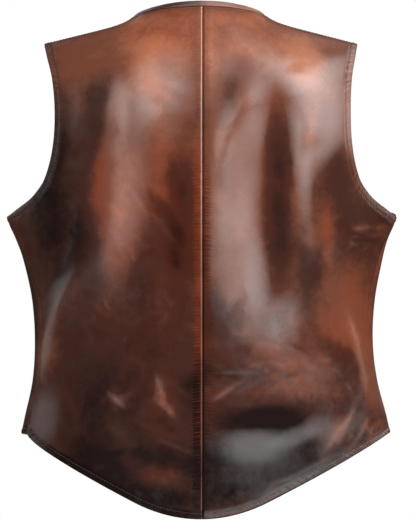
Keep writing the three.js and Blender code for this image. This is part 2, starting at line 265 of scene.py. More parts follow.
# Finer creases of the backs
BACK_CREASES = table("""
x0 z0 x1 z1 bow width high steep
70 -52 62 -104 5 16 1.2 0.1
62 -210 16 -275 -6 6 0.9 0.5
40 -165 22 -235 5 12 -0.6 0
142 -305 198 -438 9 10 1 0.4
150 -250 176 -330 -6 12 -1.6 0.3
56 -444 46 -474 3 7 0.9 0.4
108 -458 96 -472 2 7 0.7 0.4
62 -470 34 -492 -4 7 0.9 0.4
58 -488 30 -508 3 7 -0.7 0.4
86 -520 4 -552 8 12 -2.2 0.4
110 -500 60 -530 5 10 1.2 0.2
178 -455 150 -500 -5 9 0.4 0.5
-57 -95 -20 -172 6 17 0.8 0.2
-44 -62 -26 -130 3 13 -1.4 0
-118 -175 -112 -300 4 10 0.9 0.4
-46 -350 -4 -385 -4 10 -0.8 0.2
-14 -404 -58 -436 4 8 0.5 0.3
-16 -452 -58 -440 4 6 1 0.3
-4 -470 -34 -452 3 7 0.9 0.3
-92 -412 -60 -404 2 7 1.2 0.4
-201 -499 -172 -530 3 5 1.2 0.4
-146 -545 -176 -492 -4 8 1.5 0.3
-160 -542 -192 -500 3 7 -1 0.2
-215 -501 -203 -524 2 4 1 0.4
-183 -386 -206 -470 -5 11 1.5 0.4
-184 -262 -222 -270 3 5 1.3 0.5
-186 -278 -214 -280 -2 5 -1 0.5
-120 -62 -160 -100 8 18 0.5 0.2
-181 -218 -194 -207 0 1.7 0.6 0
180 -214 190 -208 0 1.7 0.45 0
""")

# Finer creases of the fronts
FRONT_CREASES = table("""
x0 z0 x1 z1 bow width high steep
150 -245 205 -262 4 7 1.5 0.5
140 -268 200 -285 -4 7 -1.2 0.5
90 -180 40 -262 7 9 1.8 0.5
120 -330 60 -352 5 8 1.3 0.4
140 -372 196 -360 4 7 1.4 0.5
96 -440 150 -470 -6 9 1.6 0.5
40 -410 26 -470 4 8 -1.3 0.4
175 -420 192 -480 5 9 1.5 0.5
30 -300 62 -312 3 6 1.2 0.4
-146 -250 -202 -258 -4 7 1.4 0.5
-132 -275 -190 -296 4 7 -1.3 0.5
-84 -176 -44 -250 -7 9 1.7 0.5
-110 -345 -58 -330 -4 8 1.4 0.4
-150 -385 -198 -372 4 7 1.3 0.5
-90 -455 -146 -480 6 9 1.5 0.5
-36 -395 -30 -455 -4 8 -1.2 0.4
-182 -430 -196 -490 5 9 1.4 0.5
-28 -285 -64 -296 3 6 1.2 0.4
""")


# Where the leather is crumpled into many small creases: turn is their main direction in degrees
BACK_CRUMPLES = table("""
x z wide tall turn count high
52 -468 10 24 115 18 0.55
98 -470 14 8 150 8 0.5
70 -545 34 10 170 7 0.6
40 -330 20 40 100 7 0.5
96 -330 22 40 80 6 0.5
-44 -410 26 26 10 10 0.5
-104 -436 34 18 25 12 0.7
-50 -330 20 44 75 6 0.3
-200 -270 16 14 10 7 0.7
-150 -330 22 50 100 8 0.5
-80 -570 30 8 160 6 0.5
-186 -500 16 20 50 6 0.6
""")
FRONT_CRUMPLES = table("""
x z wide tall turn count high
60 -450 26 26 60 12 0.7
110 -430 34 18 155 10 0.7
50 -330 22 40 100 8 0.5
196 -275 16 14 170 7 0.7
150 -350 22 50 80 8 0.5
-60 -440 26 26 120 12 0.7
-120 -450 34 18 25 10 0.7
-54 -320 22 40 80 8 0.5
-196 -270 16 14 10 7 0.7
-160 -340 22 50 100 8 0.5
""")
CRUMPLE_SEED = 90
CRUMPLE_SPREAD, CRUMPLE_HALF, CRUMPLE_SHARE = 22, (4, 13), (0.35, 1.0)
CRUMPLE_BOW, CRUMPLE_WIDTH, CRUMPLE_STEEP = (-2.5, 2.5), (2.2, 4.6), (-0.4, 0.4)


def small_creases(regions):
    """The small creases of crumpled regions, as a table like those of the larger ones."""
    chance = rand(CRUMPLE_SEED)
    rows = []
    for x, z, wide, tall, turn, count, high in zip(*regions.values()):
        for _ in range(int(count)):
            cx, cz = chance.normal(x, wide), chance.normal(z, tall)
            lean, half = math.radians(chance.normal(turn, CRUMPLE_SPREAD)), chance.uniform(*CRUMPLE_HALF)
            size = high * chance.uniform(*CRUMPLE_SHARE) * chance.choice([1, 1, -1])
            dx, dz = half * math.cos(lean), half * math.sin(lean)
            bow, width = chance.uniform(*CRUMPLE_BOW), chance.uniform(*CRUMPLE_WIDTH)
            steep = chance.uniform(*CRUMPLE_STEEP)
            rows.append((cx - dx, cz - dz, cx + dx, cz + dz, bow, width, size, steep))
    return dict(zip(BACK_CREASES, np.array(rows).T))


# Share of a crease's length over which it fades, to each side of its ends
END_FADE = 0.3


def crease_height(creases, x, z):
    """Curved ridges and troughs that fade out towards their ends."""
    total = np.zeros_like(x)
    for x0, z0, x1, z1, bow, width, high, steep in zip(*creases.values()):
        length = math.hypot(x1 - x0, z1 - z0)
        along_x, along_z = (x1 - x0) / length, (z1 - z0) / length
        run = ((x - x0) * along_x + (z - z0) * along_z) / length
        off = (z - z0) * along_x - (x - x0) * along_z - bow * 4 * run * (1 - run)
        fade = smooth(-END_FADE, END_FADE, run) * smooth(1 + END_FADE, 1 - END_FADE, run)
        flank = 1 + steep * np.tanh(off / width)
        total += high * fade * bell(off * flank, width)
    return total


FOLDS = {BACK: BACK_FOLDS, FRONT: FRONT_FOLDS}
CREASES = {
    BACK: (BACK_CREASES, small_creases(BACK_CRUMPLES)),
    FRONT: (FRONT_CREASES, small_creases(FRONT_CRUMPLES)),
}


def creased(face, x, z):
    """The finer creases alone."""
    return sum(crease_height(creases, x, z) for creases in CREASES[face])


def form_height(side, face, x, z):
    """The folds and creases of a panel, and the lap of the right front under the left."""
    height = crease_height(FOLDS[face], x, z) + creased(face, x, z)
    if side == RIGHT and face == FRONT:
        height -= (WALL + LAP_GAP) * smooth(-LAP_FADE_TO, -LAP_FADE_FROM, x)
    return height


def skin(side, face, x, z):
    """The trunk at x and z on one face: points, normals, and the height of the form above them."""
    turn = turn_at(face, x, z)
    base, normal = trunk(side, turn, z), trunk_normal(side, turn, z)
    return base, normal, form_height(side, face, base[..., 0], z)


def side_seam_turn(side, z):
    behind = read(SIDE_SEAMS, SIDE_NAME[side], z)
    return np.arcsin(1 - np.maximum(0, behind) / read(RINGS, "half", z))


# An edge gives the turn and level at each share of its length: s from the inner end, t from the bottom
LOW_SHARE, NECK_SHARE, START = 0.5, 0.42, np.array(0.0)


def level_at(t, low, middle, high):
    """A level between the bottom and the top edge, with the underarm at LOW_SHARE."""
    upper = clamp01((t - LOW_SHARE) / (1 - LOW_SHARE))
    eased = (1 - np.cos(np.pi * upper)) / 2
    return np.where(t <= LOW_SHARE, mix(low, middle, t / LOW_SHARE), mix(middle, high, eased))


def outer_edge(side, face, t):
    """The side seam and, above the underarm, the armhole."""
    z = level_at(t, SIDE_HEM_Z, UNDERARM_Z, SHOULDER_TIP_Z)
    arm = turn_at(face, read(ARMHOLES, FACE_NAME[face], z), z)
    return np.where(t <= LOW_SHARE, side_seam_turn(side, z), arm), z


def back_hem_z(x):
    far = np.abs(x - TAIL_SHIFT)
    climb = np.where(far < TAIL_ROUND, far * far / (2 * TAIL_ROUND), far - TAIL_ROUND / 2)
    return BACK_HEM_Z + TAIL_SLOPE * climb


def back_hem_edge(side, s):
    corner = outer_edge(side, BACK, START)[0]
    half = read(RINGS, "half", START + SIDE_HEM_Z)
    turn = corner * s
    lift = SIDE_HEM_Z - back_hem_z(side * half * np.sin(corner))
    return turn, back_hem_z(side * half * np.sin(turn)) + lift * s**CORNER_POWER


def neck_half(side):
    return NECK_HALF + side * NECK_SHIFT


def band_half(side):
    return BAND_HALF + side * NECK_SHIFT


def neck_z(side, x):
    half = neck_half(side)
    share = clamp01(x / half) ** NECK_BEND
    return BACK_NECK_Z - (BACK_NECK_Z - crest_z(side, half)) * share


def back_top_edge(side, s):
    over_neck = neck_half(side) * np.sin(math.pi / 2 * clamp01(s / NECK_SHARE))
    over_shoulder = mix(neck_half(side), SHOULDER_HALF, clamp01((s - NECK_SHARE) / (1 - NECK_SHARE)))
    x = np.where(s <= NECK_SHARE, over_neck, over_shoulder)
    z = np.where(s <= NECK_SHARE, neck_z(side, x), crest_z(side, x))
    return turn_at(BACK, x, z), z


def back_inner_edge(_side, t):
    z = level_at(t, back_hem_z(0.0), UNDERARM_Z, BACK_NECK_Z)
    return np.zeros_like(z), z


def front_inner_edge(side, t):
    top_x = band_half(side)
    top_z = crest_z(side, top_x)
    z = level_at(t, SIDE_HEM_Z - FRONT_HEM_DROP, BREAK_Z, top_z)
    share = clamp01((z - BREAK_Z) / (top_z - BREAK_Z))
    x = mix(-LAP_HALF, top_x, share) - V_SAG * np.sin(np.pi * share)
    return turn_at(FRONT, x, z), z


def front_top_edge(side, s):
    x = mix(band_half(side), SHOULDER_HALF, s)
    z = crest_z(side, x)
    return turn_at(FRONT, x, z), z


def front_hem_edge(side, s):
    start, corner = front_inner_edge(side, START)[0], outer_edge(side, FRONT, START)[0]
    return mix(start, corner, s), SIDE_HEM_Z - FRONT_HEM_DROP * (1 - smooth(0, 1, s))


def between(bottom, top, inner, outer, s, t):
    """Fills the space between four edges. s runs from the inner edge out, t from the bottom up."""
    s, t = np.meshgrid(s, t)
    zero, one = np.zeros_like(s), np.ones_like(s)
    found = []
    for k in (0, 1):
        found.append(
            (1 - t) * bottom(s)[k] + t * top(s)[k] + (1 - s) * inner(t)[k] + s * outer(t)[k]
            - (1 - s) * ((1 - t) * bottom(zero)[k] + t * top(zero)[k])
            - s * ((1 - t) * bottom(one)[k] + t * top(one)[k])
        )
    return found


def spaced(length, start, end, step):
    """Shares along a length: close together near both ends, as listed in millimetres, and even between."""
    first, final = np.array(start), length - np.array(end)[::-1]
    count = max(2, int(round((final[0] - first[-1]) / step)))
    even = np.linspace(first[-1], final[0], count + 1)
    return np.concatenate([first[:-1], even, final[1:]]) / length


FAR, REACH, CHUNK = 99.0, 40.0, 2048


def nearest(points, line):
    """Distance from each point to a line, run on straight past its ends, and how far along that is."""
    first, last = line[0] + REACH * unit(line[0] - line[1]), line[-1] + REACH * unit(line[-1] - line[-2])
    line = np.concatenate([first[None], line, last[None]])
    starts, steps = line[:-1], np.diff(line, axis=0)
    size = np.maximum(np.linalg.norm(steps, axis=-1), 1e-6)
    arc = np.cumsum(size) - size - REACH
    flat = points.reshape(-1, 3)
    distance, along = np.empty(len(flat)), np.empty(len(flat))
    for begin in range(0, len(flat), CHUNK):
        part = slice(begin, begin + CHUNK)
        away = flat[part, None, :] - starts
        share = clamp01((away * steps).sum(-1) / size**2)
        gap = np.linalg.norm(away - share[..., None] * steps, axis=-1)
        best = gap.argmin(1)
        row = np.arange(len(best))
        distance[part] = gap[row, best]
        along[part] = arc[best] + share[row, best] * size[best]
    return distance.reshape(points.shape[:-1]), along.reshape(points.shape[:-1])


def rounded(distance, radius):
    """How far an edge of that radius falls away near its rim."""
    share = clamp01(1 - distance / radius)
    return -radius * (1 - np.sqrt(1 - share**2))


# Ranges of the puckers' gaps, slants, heights, reaches and widths, and how far off one is still felt
PUCKER_GAP, PUCKER_TILT, PUCKER_SIZE = (0.6, 1.5), (-0.45, 0.45), (0.25, 1.0)
PUCKER_SPAN, PUCKER_WIDE, PUCKER_CUT = (0.55, 1.15), (0.22, 0.36), 4


def pucker_height(along, away, seed, length, pitch, reach, high):
    """Small wrinkles that stand square to a seam, uneven in spacing, reach and height."""
    chance = rand(seed)
    total = np.zeros_like(along)
    place = 0.0
    while place < length:
        place += pitch * chance.uniform(*PUCKER_GAP)
        tilt = chance.uniform(*PUCKER_TILT)
        size = high * chance.uniform(*PUCKER_SIZE)
        span = reach * chance.uniform(*PUCKER_SPAN)
        width = pitch * chance.uniform(*PUCKER_WIDE)
        off = along - place - tilt * away
        near = np.abs(off) < PUCKER_CUT * width
        total[near] += size * bell(off[near], width) * bell(away[near], span)
    return total


# Spacing of grid lines near a plain seam, a turned edge, the middle seam and the underarm
PLAIN_EDGE = (0, 0.35, 0.8, 1.4, 2.2, 3.2, 4.4, 5.8, 7.4, 9.2)
TURNED_EDGE = (0, 0.4, 0.9, 1.5, 2.3, 3.3, 4.4, 5.5, 6.4, 7.2, 8.0, 8.8, 9.8, 11.2, 13)
STRIP_EDGE = (0, 0.3, 0.7, 1.2, 1.8, 2.5, 3.4, 4.5, 5.8, 7.2, 8.6, 10, 11.4, 12.8, 14.4)
UNDERARM_NEAR = (0, 0.5, 1.1, 1.8, 2.6, 3.5, 4.5, 5.6, 6.8, 8.1, 9.5, 11)
LOW_LONG, HIGH_LONG = 330, 235
COLUMN_STEP, ROW_STEP = 2.7, 2.0

# The bottom, top and inner edges of each kind of panel, its width, and the spacing at its inner edge
EDGES = {
    BACK: (back_hem_edge, back_top_edge, back_inner_edge),
    FRONT: (front_hem_edge, front_top_edge, front_inner_edge),
}
COLUMNS = {BACK: (222, STRIP_EDGE), FRONT: (226, TURNED_EDGE)}

# How many grid lines beside each edge can feel it
NEAR_INNER, NEAR_HEM, NEAR_TOP, NEAR_ARM, NEAR_SIDE = 34, 30, 30, 42, 24
ARM_BELOW, SIDE_ABOVE = 26, 6


def row_shares():
    low = spaced(LOW_LONG, TURNED_EDGE, UNDERARM_NEAR, ROW_STEP)
    risen = spaced(HIGH_LONG, UNDERARM_NEAR, PLAIN_EDGE, ROW_STEP)
    high = np.arccos(1 - 2 * risen) / np.pi
    return np.concatenate([low * LOW_SHARE, mix(LOW_SHARE, 1, high[1:])])


class Panel:
    """One leather panel: its grid, heights and normals, and the way to each of its edges."""

    def __init__(self, side, face):
        self.side, self.face = side, face
        wide, first = COLUMNS[face]
        s, t = spaced(wide, first, TURNED_EDGE, COLUMN_STEP), row_shares()
        edges = [partial(edge, side) for edge in EDGES[face]]
        turn, self.z = between(*edges, partial(outer_edge, side, face), s, t)
        self.base, self.normal = trunk(side, turn, self.z), trunk_normal(side, turn, self.z)
        self.x = self.base[..., 0]
        self.form = form_height(side, face, self.x, self.z)
        self.height = self.form.copy()
        low = int((t <= LOW_SHARE + 1e-6).sum())
        self.away, self.along, self.length = {}, {}, {}
        self.measure("inner", np.s_[:, :NEAR_INNER], self.base[:, 0])
        self.measure("bottom", np.s_[:NEAR_HEM], self.base[0])
        self.measure("top", np.s_[-NEAR_TOP:], self.base[-1])
        self.measure("arm", np.s_[low - ARM_BELOW :, -NEAR_ARM:], self.base[low - 1 :, -1])
        self.measure("side", np.s_[: low + SIDE_ABOVE, -NEAR_SIDE:], self.base[:low, -1])

    def measure(self, name, where, line):
        self.away[name] = np.full(self.z.shape, FAR)
        self.along[name] = np.zeros(self.z.shape)
        self.away[name][where], self.along[name][where] = nearest(self.base[where], line)
        self.length[name] = np.linalg.norm(np.diff(line, axis=0), axis=-1).sum()

    def points(self):
        return self.base + self.normal * self.height[..., None]

    def line_at(self, edge, wanted):
        """The line at a distance from an edge: how far along, the place and the normal, in order."""
        away, along, surface = self.away[edge], self.along[edge], self.points()
        found = []
        for a, b in ((np.s_[:, :-1], np.s_[:, 1:]), (np.s_[:-1], np.s_[1:])):
            cross = ((away[a] - wanted) * (away[b] - wanted) < 0) & (np.maximum(away[a], away[b]) < FAR)
            share = ((wanted - away[a][cross]) / (away[b][cross] - away[a][cross]))[:, None]
            one = np.column_stack([along[a][cross], surface[a][cross], self.normal[a][cross]])
            two = np.column_stack([along[b][cross], surface[b][cross], self.normal[b][cross]])
            found.append(mix(one, two, share))
        found = np.concatenate(found)
        found = found[(found[:, 0] > 0) & (found[:, 0] < self.length[edge])]
        return found[np.argsort(found[:, 0])]


# Relief beside a turned edge: a full band, a groove under the stitches, a rounded rim and puckers
FULL_HIGH, FULL_OUTER, FULL_INNER, FULL_RISE = 0.5, 1.0, 1.2, 2.2
GROOVE_DEEP, GROOVE_WIDE, EDGE_ROUND = 0.5, 0.9, 1.5
EDGE_PUCKERS = {"pitch": 8.0, "reach": 4.5, "high": 0.4}

# Relief beside a plain seam
SEAM_ROUND, SEAM_SOFT, SIDE_BAND, SIDE_HIGH = 1.1, 2.5, 9.0, 0.4
SHOULDER_BAND, SHOULDER_HIGH = SHOULDER_STITCH + 0.6, {BACK: 0.35, FRONT: 0.2}
SHOULDER_DEEP, SHOULDER_WIDE = 0.35, 0.8

# Relief beside the middle seam: the bead of the left back, the dip of the right one, and puckers
MIDDLE_ROUND, BEAD_AT, BEAD_WIDE, BEAD_HIGH = 1.2, 1.3, 0.9, 0.55
CREVICE_AT, CREVICE_WIDE, CREVICE_DEEP = 3.2, 0.8, 0.25
DIP_FROM, DIP_TO, DIP_DEEP = 3.0, 0.8, 0.7
PUCKER_MIDDLE = 5.5
SHORT_PUCKERS = {"pitch": 6.5, "reach": 6.5, "high": 0.5}
LONG_PUCKERS = {"pitch": 19.0, "reach": 17.0, "high": 0.8}
PUCKER_START, SHORT_RISEN, LONG_RISEN = 1.2, 3.0, 5.0

# Seeds of the puckers: a panel's own, and what its armhole and hem add to it
PANEL_SEED = {(BACK, LEFT): 11, (BACK, RIGHT): 31, (FRONT, LEFT): 51, (FRONT, RIGHT): 71}
ARM_SEED, HEM_SEED = {BACK: 5, FRONT: 3}, 7


def edge_relief(panel, edge, stitch, seed):
    """A turned and stitched edge: a rounded rim, a fuller band, a groove under the stitches, puckers."""
    away, along = panel.away[edge], panel.along[edge]
    full = smooth(stitch + FULL_OUTER, stitch - FULL_INNER, away) * smooth(0, FULL_RISE, away)
    relief = FULL_HIGH * full - GROOVE_DEEP * bell(away - stitch, GROOVE_WIDE) + rounded(away, EDGE_ROUND)
    puckers = pucker_height(along, np.abs(away - stitch), seed, panel.length[edge], **EDGE_PUCKERS)
    return np.where(away < FAR, relief + puckers * smooth(0, EDGE_ROUND, away), 0)


def seam_relief(panel, edge, band, high):
    """A plain seam: a rounded rim, with the turnings showing as a slightly raised band."""
    away = panel.away[edge]
    return rounded(away, SEAM_ROUND) + high * smooth(band + SEAM_SOFT, band - SEAM_SOFT, away)


# How strongly the leather puckers along the middle seam
SEAM_PUCKERS = table("""
z left right
-600 0.3 0.3
-560 0.9 0.5
-480 1 0.6
-420 0.6 0.4
-350 0.4 0.5
-300 0.5 1
-220 0.6 1
-170 0.5 0.6
-130 0.4 0.3
-95 0.7 0.4
-50 0.3 0.3
0 0.2 0.2
""")


def middle_seam_relief(panel, seed):
    """The raised strip of the middle seam. The left edge is a fine bead on top, the right dips under it."""
    away, along, length = (part["inner"] for part in (panel.away, panel.along, panel.length))
    relief = STRIP_HIGH * smooth(STRIP_HALF + STRIP_SOFT, STRIP_HALF - STRIP_SOFT, away)
    relief += rounded(away, MIDDLE_ROUND)
    if panel.side == LEFT:
        relief += BEAD_HIGH * bell(away - BEAD_AT, BEAD_WIDE)
        relief -= CREVICE_DEEP * bell(away - CREVICE_AT, CREVICE_WIDE)
    else:
        relief -= DIP_DEEP * smooth(DIP_FROM, DIP_TO, away)
    strength = read(SEAM_PUCKERS, SIDE_NAME[panel.side], panel.z)
    short = pucker_height(along, np.abs(away - PUCKER_MIDDLE), seed, length, **SHORT_PUCKERS)
    long = pucker_height(along, away, seed + 1, length, **LONG_PUCKERS)
    short *= smooth(PUCKER_START, SHORT_RISEN, away)
    long *= smooth(PUCKER_START, LONG_RISEN, away)
    return np.where(away < FAR, relief + strength * (short + long), 0)


def make_panel(side, face):
    panel, seed = Panel(side, face), PANEL_SEED[face, side]
    if face == BACK:
        relief = middle_seam_relief(panel, seed)
        relief -= SHOULDER_DEEP * bell(panel.away["top"] - SHOULDER_STITCH, SHOULDER_WIDE)
    else:
        relief = edge_relief(panel, "inner", FRONT_STITCH, seed)
    relief += edge_relief(panel, "arm", ARM_STITCH, seed + ARM_SEED[face])
    relief += edge_relief(panel, "bottom", HEM_STITCH, seed + HEM_SEED)
    relief += seam_relief(panel, "side", SIDE_BAND, SIDE_HIGH)
    relief += seam_relief(panel, "top", SHOULDER_BAND, SHOULDER_HIGH[face])
    panel.height += relief
    return panel


def inset(grid):
    """Moves the rim of a grid half a seam gap inwards, so that neighbours stay apart."""
    moved = grid.copy()
    for rim, inner in (
        (np.s_[:, 0], np.s_[:, 1]),
        (np.s_[:, -1], np.s_[:, -2]),
        (np.s_[0, :], np.s_[1, :]),
        (np.s_[-1, :], np.s_[-2, :]),
    ):
        moved[rim] += unit(grid[inner] - grid[rim]) * SEAM_GAP / 2
    return moved


def new_object(name, data):
    obj = bpy.data.objects.new(name, data)
    bpy.context.scene.collection.objects.link(obj)
    return obj


def new_mesh(name, points, faces, attributes=None, material_index=None):
    mesh = bpy.data.meshes.new(name)
    mesh.from_pydata((points * MM).tolist(), [], [list(map(int, f)) for f in faces])
    mesh.polygons.foreach_set("use_smooth", np.ones(len(mesh.polygons), bool))
    for key, values in (attributes or {}).items():
        layer = mesh.attributes.new(key, "FLOAT", "POINT")
        layer.data.foreach_set("value", values.astype(np.float32))
    if material_index is not None:
        mesh.polygons.foreach_set("material_index", material_index.astype(np.int32))
    mesh.update()
    return new_object(name, mesh)


def shell(name, outer, inner, finish=None, lined=False):
    """A closed shell between an outer and an inner grid. A lined one has a second material inside."""
    deep = outer.shape[0] * outer.shape[1]
    at = np.arange(deep).reshape(outer.shape[:2])
    top = np.stack([at[:-1, :-1], at[:-1, 1:], at[1:, 1:], at[1:, :-1]], axis=-1).reshape(-1, 4)
    loop = np.concatenate([at[0, :-1], at[:-1, -1], at[-1, :0:-1], at[:0:-1, 0]])
    after = np.roll(loop, -1)
    rim = np.stack([after, loop, loop + deep, after + deep], axis=-1)
    faces = np.concatenate([top, top[:, [0, 3, 2, 1]] + deep, rim])
    points = np.concatenate([outer.reshape(-1, 3), inner.reshape(-1, 3)])
    a, b, c = points[faces[0][:3]]
    if np.dot(np.cross(b - a, c - a), outer[0, 0] - inner[0, 0]) < 0:
        faces = faces[:, ::-1]
    attributes = {key: np.tile(values.ravel(), 2) for key, values in (finish or {}).items()}
    index = np.repeat([0, 1, 0], [len(top), len(top), len(rim)]) if lined else None
    return new_mesh(name, points, faces, attributes, index)


# Burnish of the leather, with painted light and shade: patches that are lighter, or darker if negative, and
# how rusty they are
# On the backs many patches paint shade into fold valleys and troughs, and paint highlights where the sheen
# falls
BACK_BURNISH_AND_PAINTED_LIGHT = table("""
x z wide tall tilt add rust
30 -35 100 45 0 0.16 0.28
80 -70 40 40 0 0.03 0
52 -110 40 56 10 0.12 -0.35
128 -128 16 50 10 -0.18 -0.1
102 -122 12 44 6 0.1 0
170 -152 26 40 0 -0.15 -0.2
73 -320 18 34 0 -0.1 0
148 -56 50 26 0 0.02 -0.5
70 -6 40 12 0 0.12 0
80 -36 26 20 0 0.12 -0.1
46 -170 18 70 0 0.12 0.1
131 -295 14 36 0 -0.12 -0.25
214 -275 24 40 0 0.02 -0.3
160 -315 16 36 0 0.07 -0.1
189 -400 22 44 0 0 -0.4
76 -588 60 18 27 -0.2 -0.35
18 -548 20 30 0 0.06 0.3
15 -465 14 34 0 -0.14 -0.1
98 -235 28 84 6 0.2 0.32
126 -210 10 48 4 0.06 0.5
160 -90 16 40 0 0.06 0.1
185 -240 40 110 -6 -0.34 -0.3
150 -480 60 60 0 -0.12 -0.2
120 -550 60 34 20 -0.18 -0.3
85 -450 100 120 0 -0.22 0.2
51 -343 20 60 0 0.06 0.1
45 -280 34 100 0 -0.12 0.3
26 -240 20 80 0 -0.19 0.4
50 -468 11 28 14 0.05 0.2
102 -472 14 9 -30 0.12 0.3
48 -560 34 12 -6 0.12 0.6
-46 -235 28 120 4 0.18 0.1
-50 -45 80 45 0 0.09 -0.05
-14 -85 12 40 0 0.12 0
-130 -34 40 18 0 0.12 0
-45 -6 50 12 0 0.12 0
-128 -62 20 16 -20 0.2 -0.5
-130 -152 12 34 0 0.16 -0.1
-43 -108 16 30 0 -0.03 0
-134 -277 9 24 0 0.14 0
-16 -352 12 26 0 -0.14 0
-100 -280 14 26 0 -0.1 -0.15
-92 -215 19 95 0 -0.28 0.2
-110 -64 34 34 0 0.16 -0.1
-16 -215 12 84 0 0.1 -0.2
-130 -310 15 56 0 -0.22 -0.35
-159 -320 18 50 0 -0.05 -0.3
-190 -190 16 50 0 0.08 -0.5
-175 -440 26 22 0 -0.12 -0.1
-180 -492 34 34 0 -0.12 -0.3
-50 -441 38 14 0 -0.18 -0.15
44 -588 30 14 20 -0.16 -0.1
-72 -552 50 20 -8 0.08 0
-140 -110 44 60 0 0.1 0
-153 -262 9 40 0 0.1 0.4
-200 -265 36 56 0 -0.16 0.1
-165 -215 24 50 0 -0.14 0
-172 -350 46 74 0 0.1 0.3
-100 -445 60 28 -8 0.03 0.25
-163 -412 36 13 31 -0.16 0.3
-30 -430 26 50 0 -0.1 0.2
-78 -491 54 17 -4 -0.38 -0.2
-172 -508 34 12 -38 0.1 0
-25 -575 60 40 0 -0.22 -0.4
-64 -545 80 32 0 -0.28 -0.6
-120 -530 40 30 0 -0.18 -0.4
-120 -555 140 60 0 -0.12 -0.1
""")
FRONT_BURNISH = table("""
x z wide tall tilt add rust
110 -60 60 50 0 0.24 0.2
80 -150 40 90 0 0.24 0.3
140 -300 36 110 0 -0.12 0
60 -330 30 90 0 0.22 0.4
100 -480 60 40 0 -0.16 -0.2
205 -360 30 140 0 -0.25 -0.2
-110 -60 60 50 0 0.24 0.2
-85 -150 44 90 0 0.26 0.3
-140 -320 36 110 0 -0.12 0
-55 -350 30 90 0 0.24 0.5
-110 -475 60 40 0 -0.18 -0.2
-205 -380 30 120 0 0.06 0.3
""")
BASE_BURNISH = 0.36

# Where handling has rubbed the leather to a shine, and where it has gone dull
BACK_SHINE = table("""
x z wide tall tilt add
52 -96 34 46 16 0.72
100 -222 31 100 8 0.44
102 -130 14 40 6 0.75
84 -180 40 90 4 -0.14
24 -250 16 90 0 -0.15
36 -34 70 20 0 -0.1
-28 -90 24 60 0 0.14
-48 -175 27 100 5 0.5
-42 -298 31 74 2 0.66
-78 -372 42 30 -14 0.5
-110 -440 50 24 -8 0.12
-72 -116 22 40 10 0.26
-104 -64 30 30 0 0.5
-22 -215 12 80 0 0.34
-68 -318 19 44 -4 0.5
-41 -106 13 26 -15 -0.3
-98 -378 16 36 0 0.7
-50 -344 22 20 0 0.15
-72 -555 50 18 -8 0.14
-91 -223 17 118 0 -0.9
-137 -118 37 82 0 1
-166 -212 32 52 8 -0.65
-124 -215 9 70 -3 0.5
-170 -56 40 22 0 0.35
-50 -42 90 32 0 0.16
-178 -385 34 90 0 -0.05
-62 -526 44 19 0 0.62
-143 -503 20 14 0 0.24
-110 -515 30 10 -18 0.4
-85 -575 40 9 -16 0.14
-115 -563 64 6 -27 0.3
169 -331 13 36 12 0.6
187 -398 7 50 16 0.5
192 -494 20 30 10 0.45
160 -110 12 34 0 0.2
80 -480 90 100 0 -0.12
50 -468 12 28 14 0.04
100 -471 18 9 -30 0.12
48 -560 34 12 -6 0.04
-76 -491 50 13 -4 -0.25
-172 -508 34 9 -38 0.14
""")
FRONT_SHINE = table("""
x z wide tall tilt add
90 -120 50 90 10 0.6
130 -300 60 160 0 0.4
60 -470 70 50 0 0.3
-90 -120 50 90 -10 0.6
-130 -300 60 160 0 0.4
-60 -470 70 50 0 0.3
""")
BASE_SHINE = 0.05
LEAST_SHINE = 0.015


# Painted highlights: thin light, shiny lines on the sharpest creases of the backs
BACK_HIGHLIGHT_LINES = table("""
x z wide tall tilt light
105 -470 3 13 -46 0.3
53 -450 3 16 -20 0.24
48 -470 5 14 -4 0.16
38 -484 4 14 -38 0.2
31 -455 2.4 22 -52 0.14
66 -502 2.6 30 -70 0.12
36 -524 3 30 -68 0.14
76 -232 2.8 22 -32 0.16
44 -266 2.8 28 -38 0.12
-39 -437 24 2.6 0 0.22
-27 -461 18 2.6 -33 0.2
-58 -452 22 4 -28 0.1
-174 -502 3.6 30 27 0.26
-160 -516 3 22 38 0.16
-192 -514 3 18 36 0.2
-195 -425 4 40 -14 0.24
-178 -372 3 30 -22 0.1
-196 -262 22 3 -8 0.18
-204 -274 16 3 6 0.14
-172 -246 22 3 -24 0.12
""")


def patches_at(patches, column, x, z, power=1.0):
    """Sums soft patches. A higher power makes them flatter inside and crisper at the rim."""
    total = np.zeros_like(x)
    for k in range(len(patches["x"])):
        lean = math.radians(patches["tilt"][k])
        dx, dz = x - patches["x"][k], z - patches["z"][k]
        across = (dx * math.cos(lean) + dz * math.sin(lean)) / patches["wide"][k]
        along = (-dx * math.sin(lean) + dz * math.cos(lean)) / patches["tall"][k]
        total += patches[column][k] * np.exp(-((across**2 + along**2) ** power))
    return total


# How much the creases and the thin lines are painted: crests lighter and shinier, partly rubbed wear and
# partly painted highlight, troughs darker as painted shade, and the thin lines as painted highlights
CREASE_LIGHT_AND_SHADE, CREST_SHINE = 0.12, 0.08
LINE_HIGHLIGHT, LINE_SHINE = 0.32, 0.8
SHINE_POWER = 1.7

BURNISH_AND_PAINTED_LIGHT = {BACK: BACK_BURNISH_AND_PAINTED_LIGHT, FRONT: FRONT_BURNISH}
SHINE = {BACK: BACK_SHINE, FRONT: FRONT_SHINE}
STITCHES = {"arm": ARM_STITCH, "bottom": HEM_STITCH, "inner": FRONT_STITCH}
MIDDLE_SLANT, EDGE_SLANT = 0.12, 0.7

# The strip of the middle seam: where it fades out, its ribs, its bead on the left and dip on the right
MIDDLE_FADE, MIDDLE_RIBS = {LEFT: (13, 9), RIGHT: (17, 4)}, {LEFT: 1.5, RIGHT: 1.1}
HIGH_RIBS, RIBS_LEVELS, RIBS_OUTER, RIBS_INNER = 0.55, (-360, -440), (17, 6), (1.4, 3.0)
BEAD_SHINE_AT, BEAD_SHINE_WIDE, BEAD_TOP_WIDE, UPPER_STRIP = 1.2, 1.2, 1.0, (-450, -390)
DIP_SHADE_AT, DIP_SHADE_WIDE, DIP_DULL_WIDE = 0.4, 1.3, 1.4

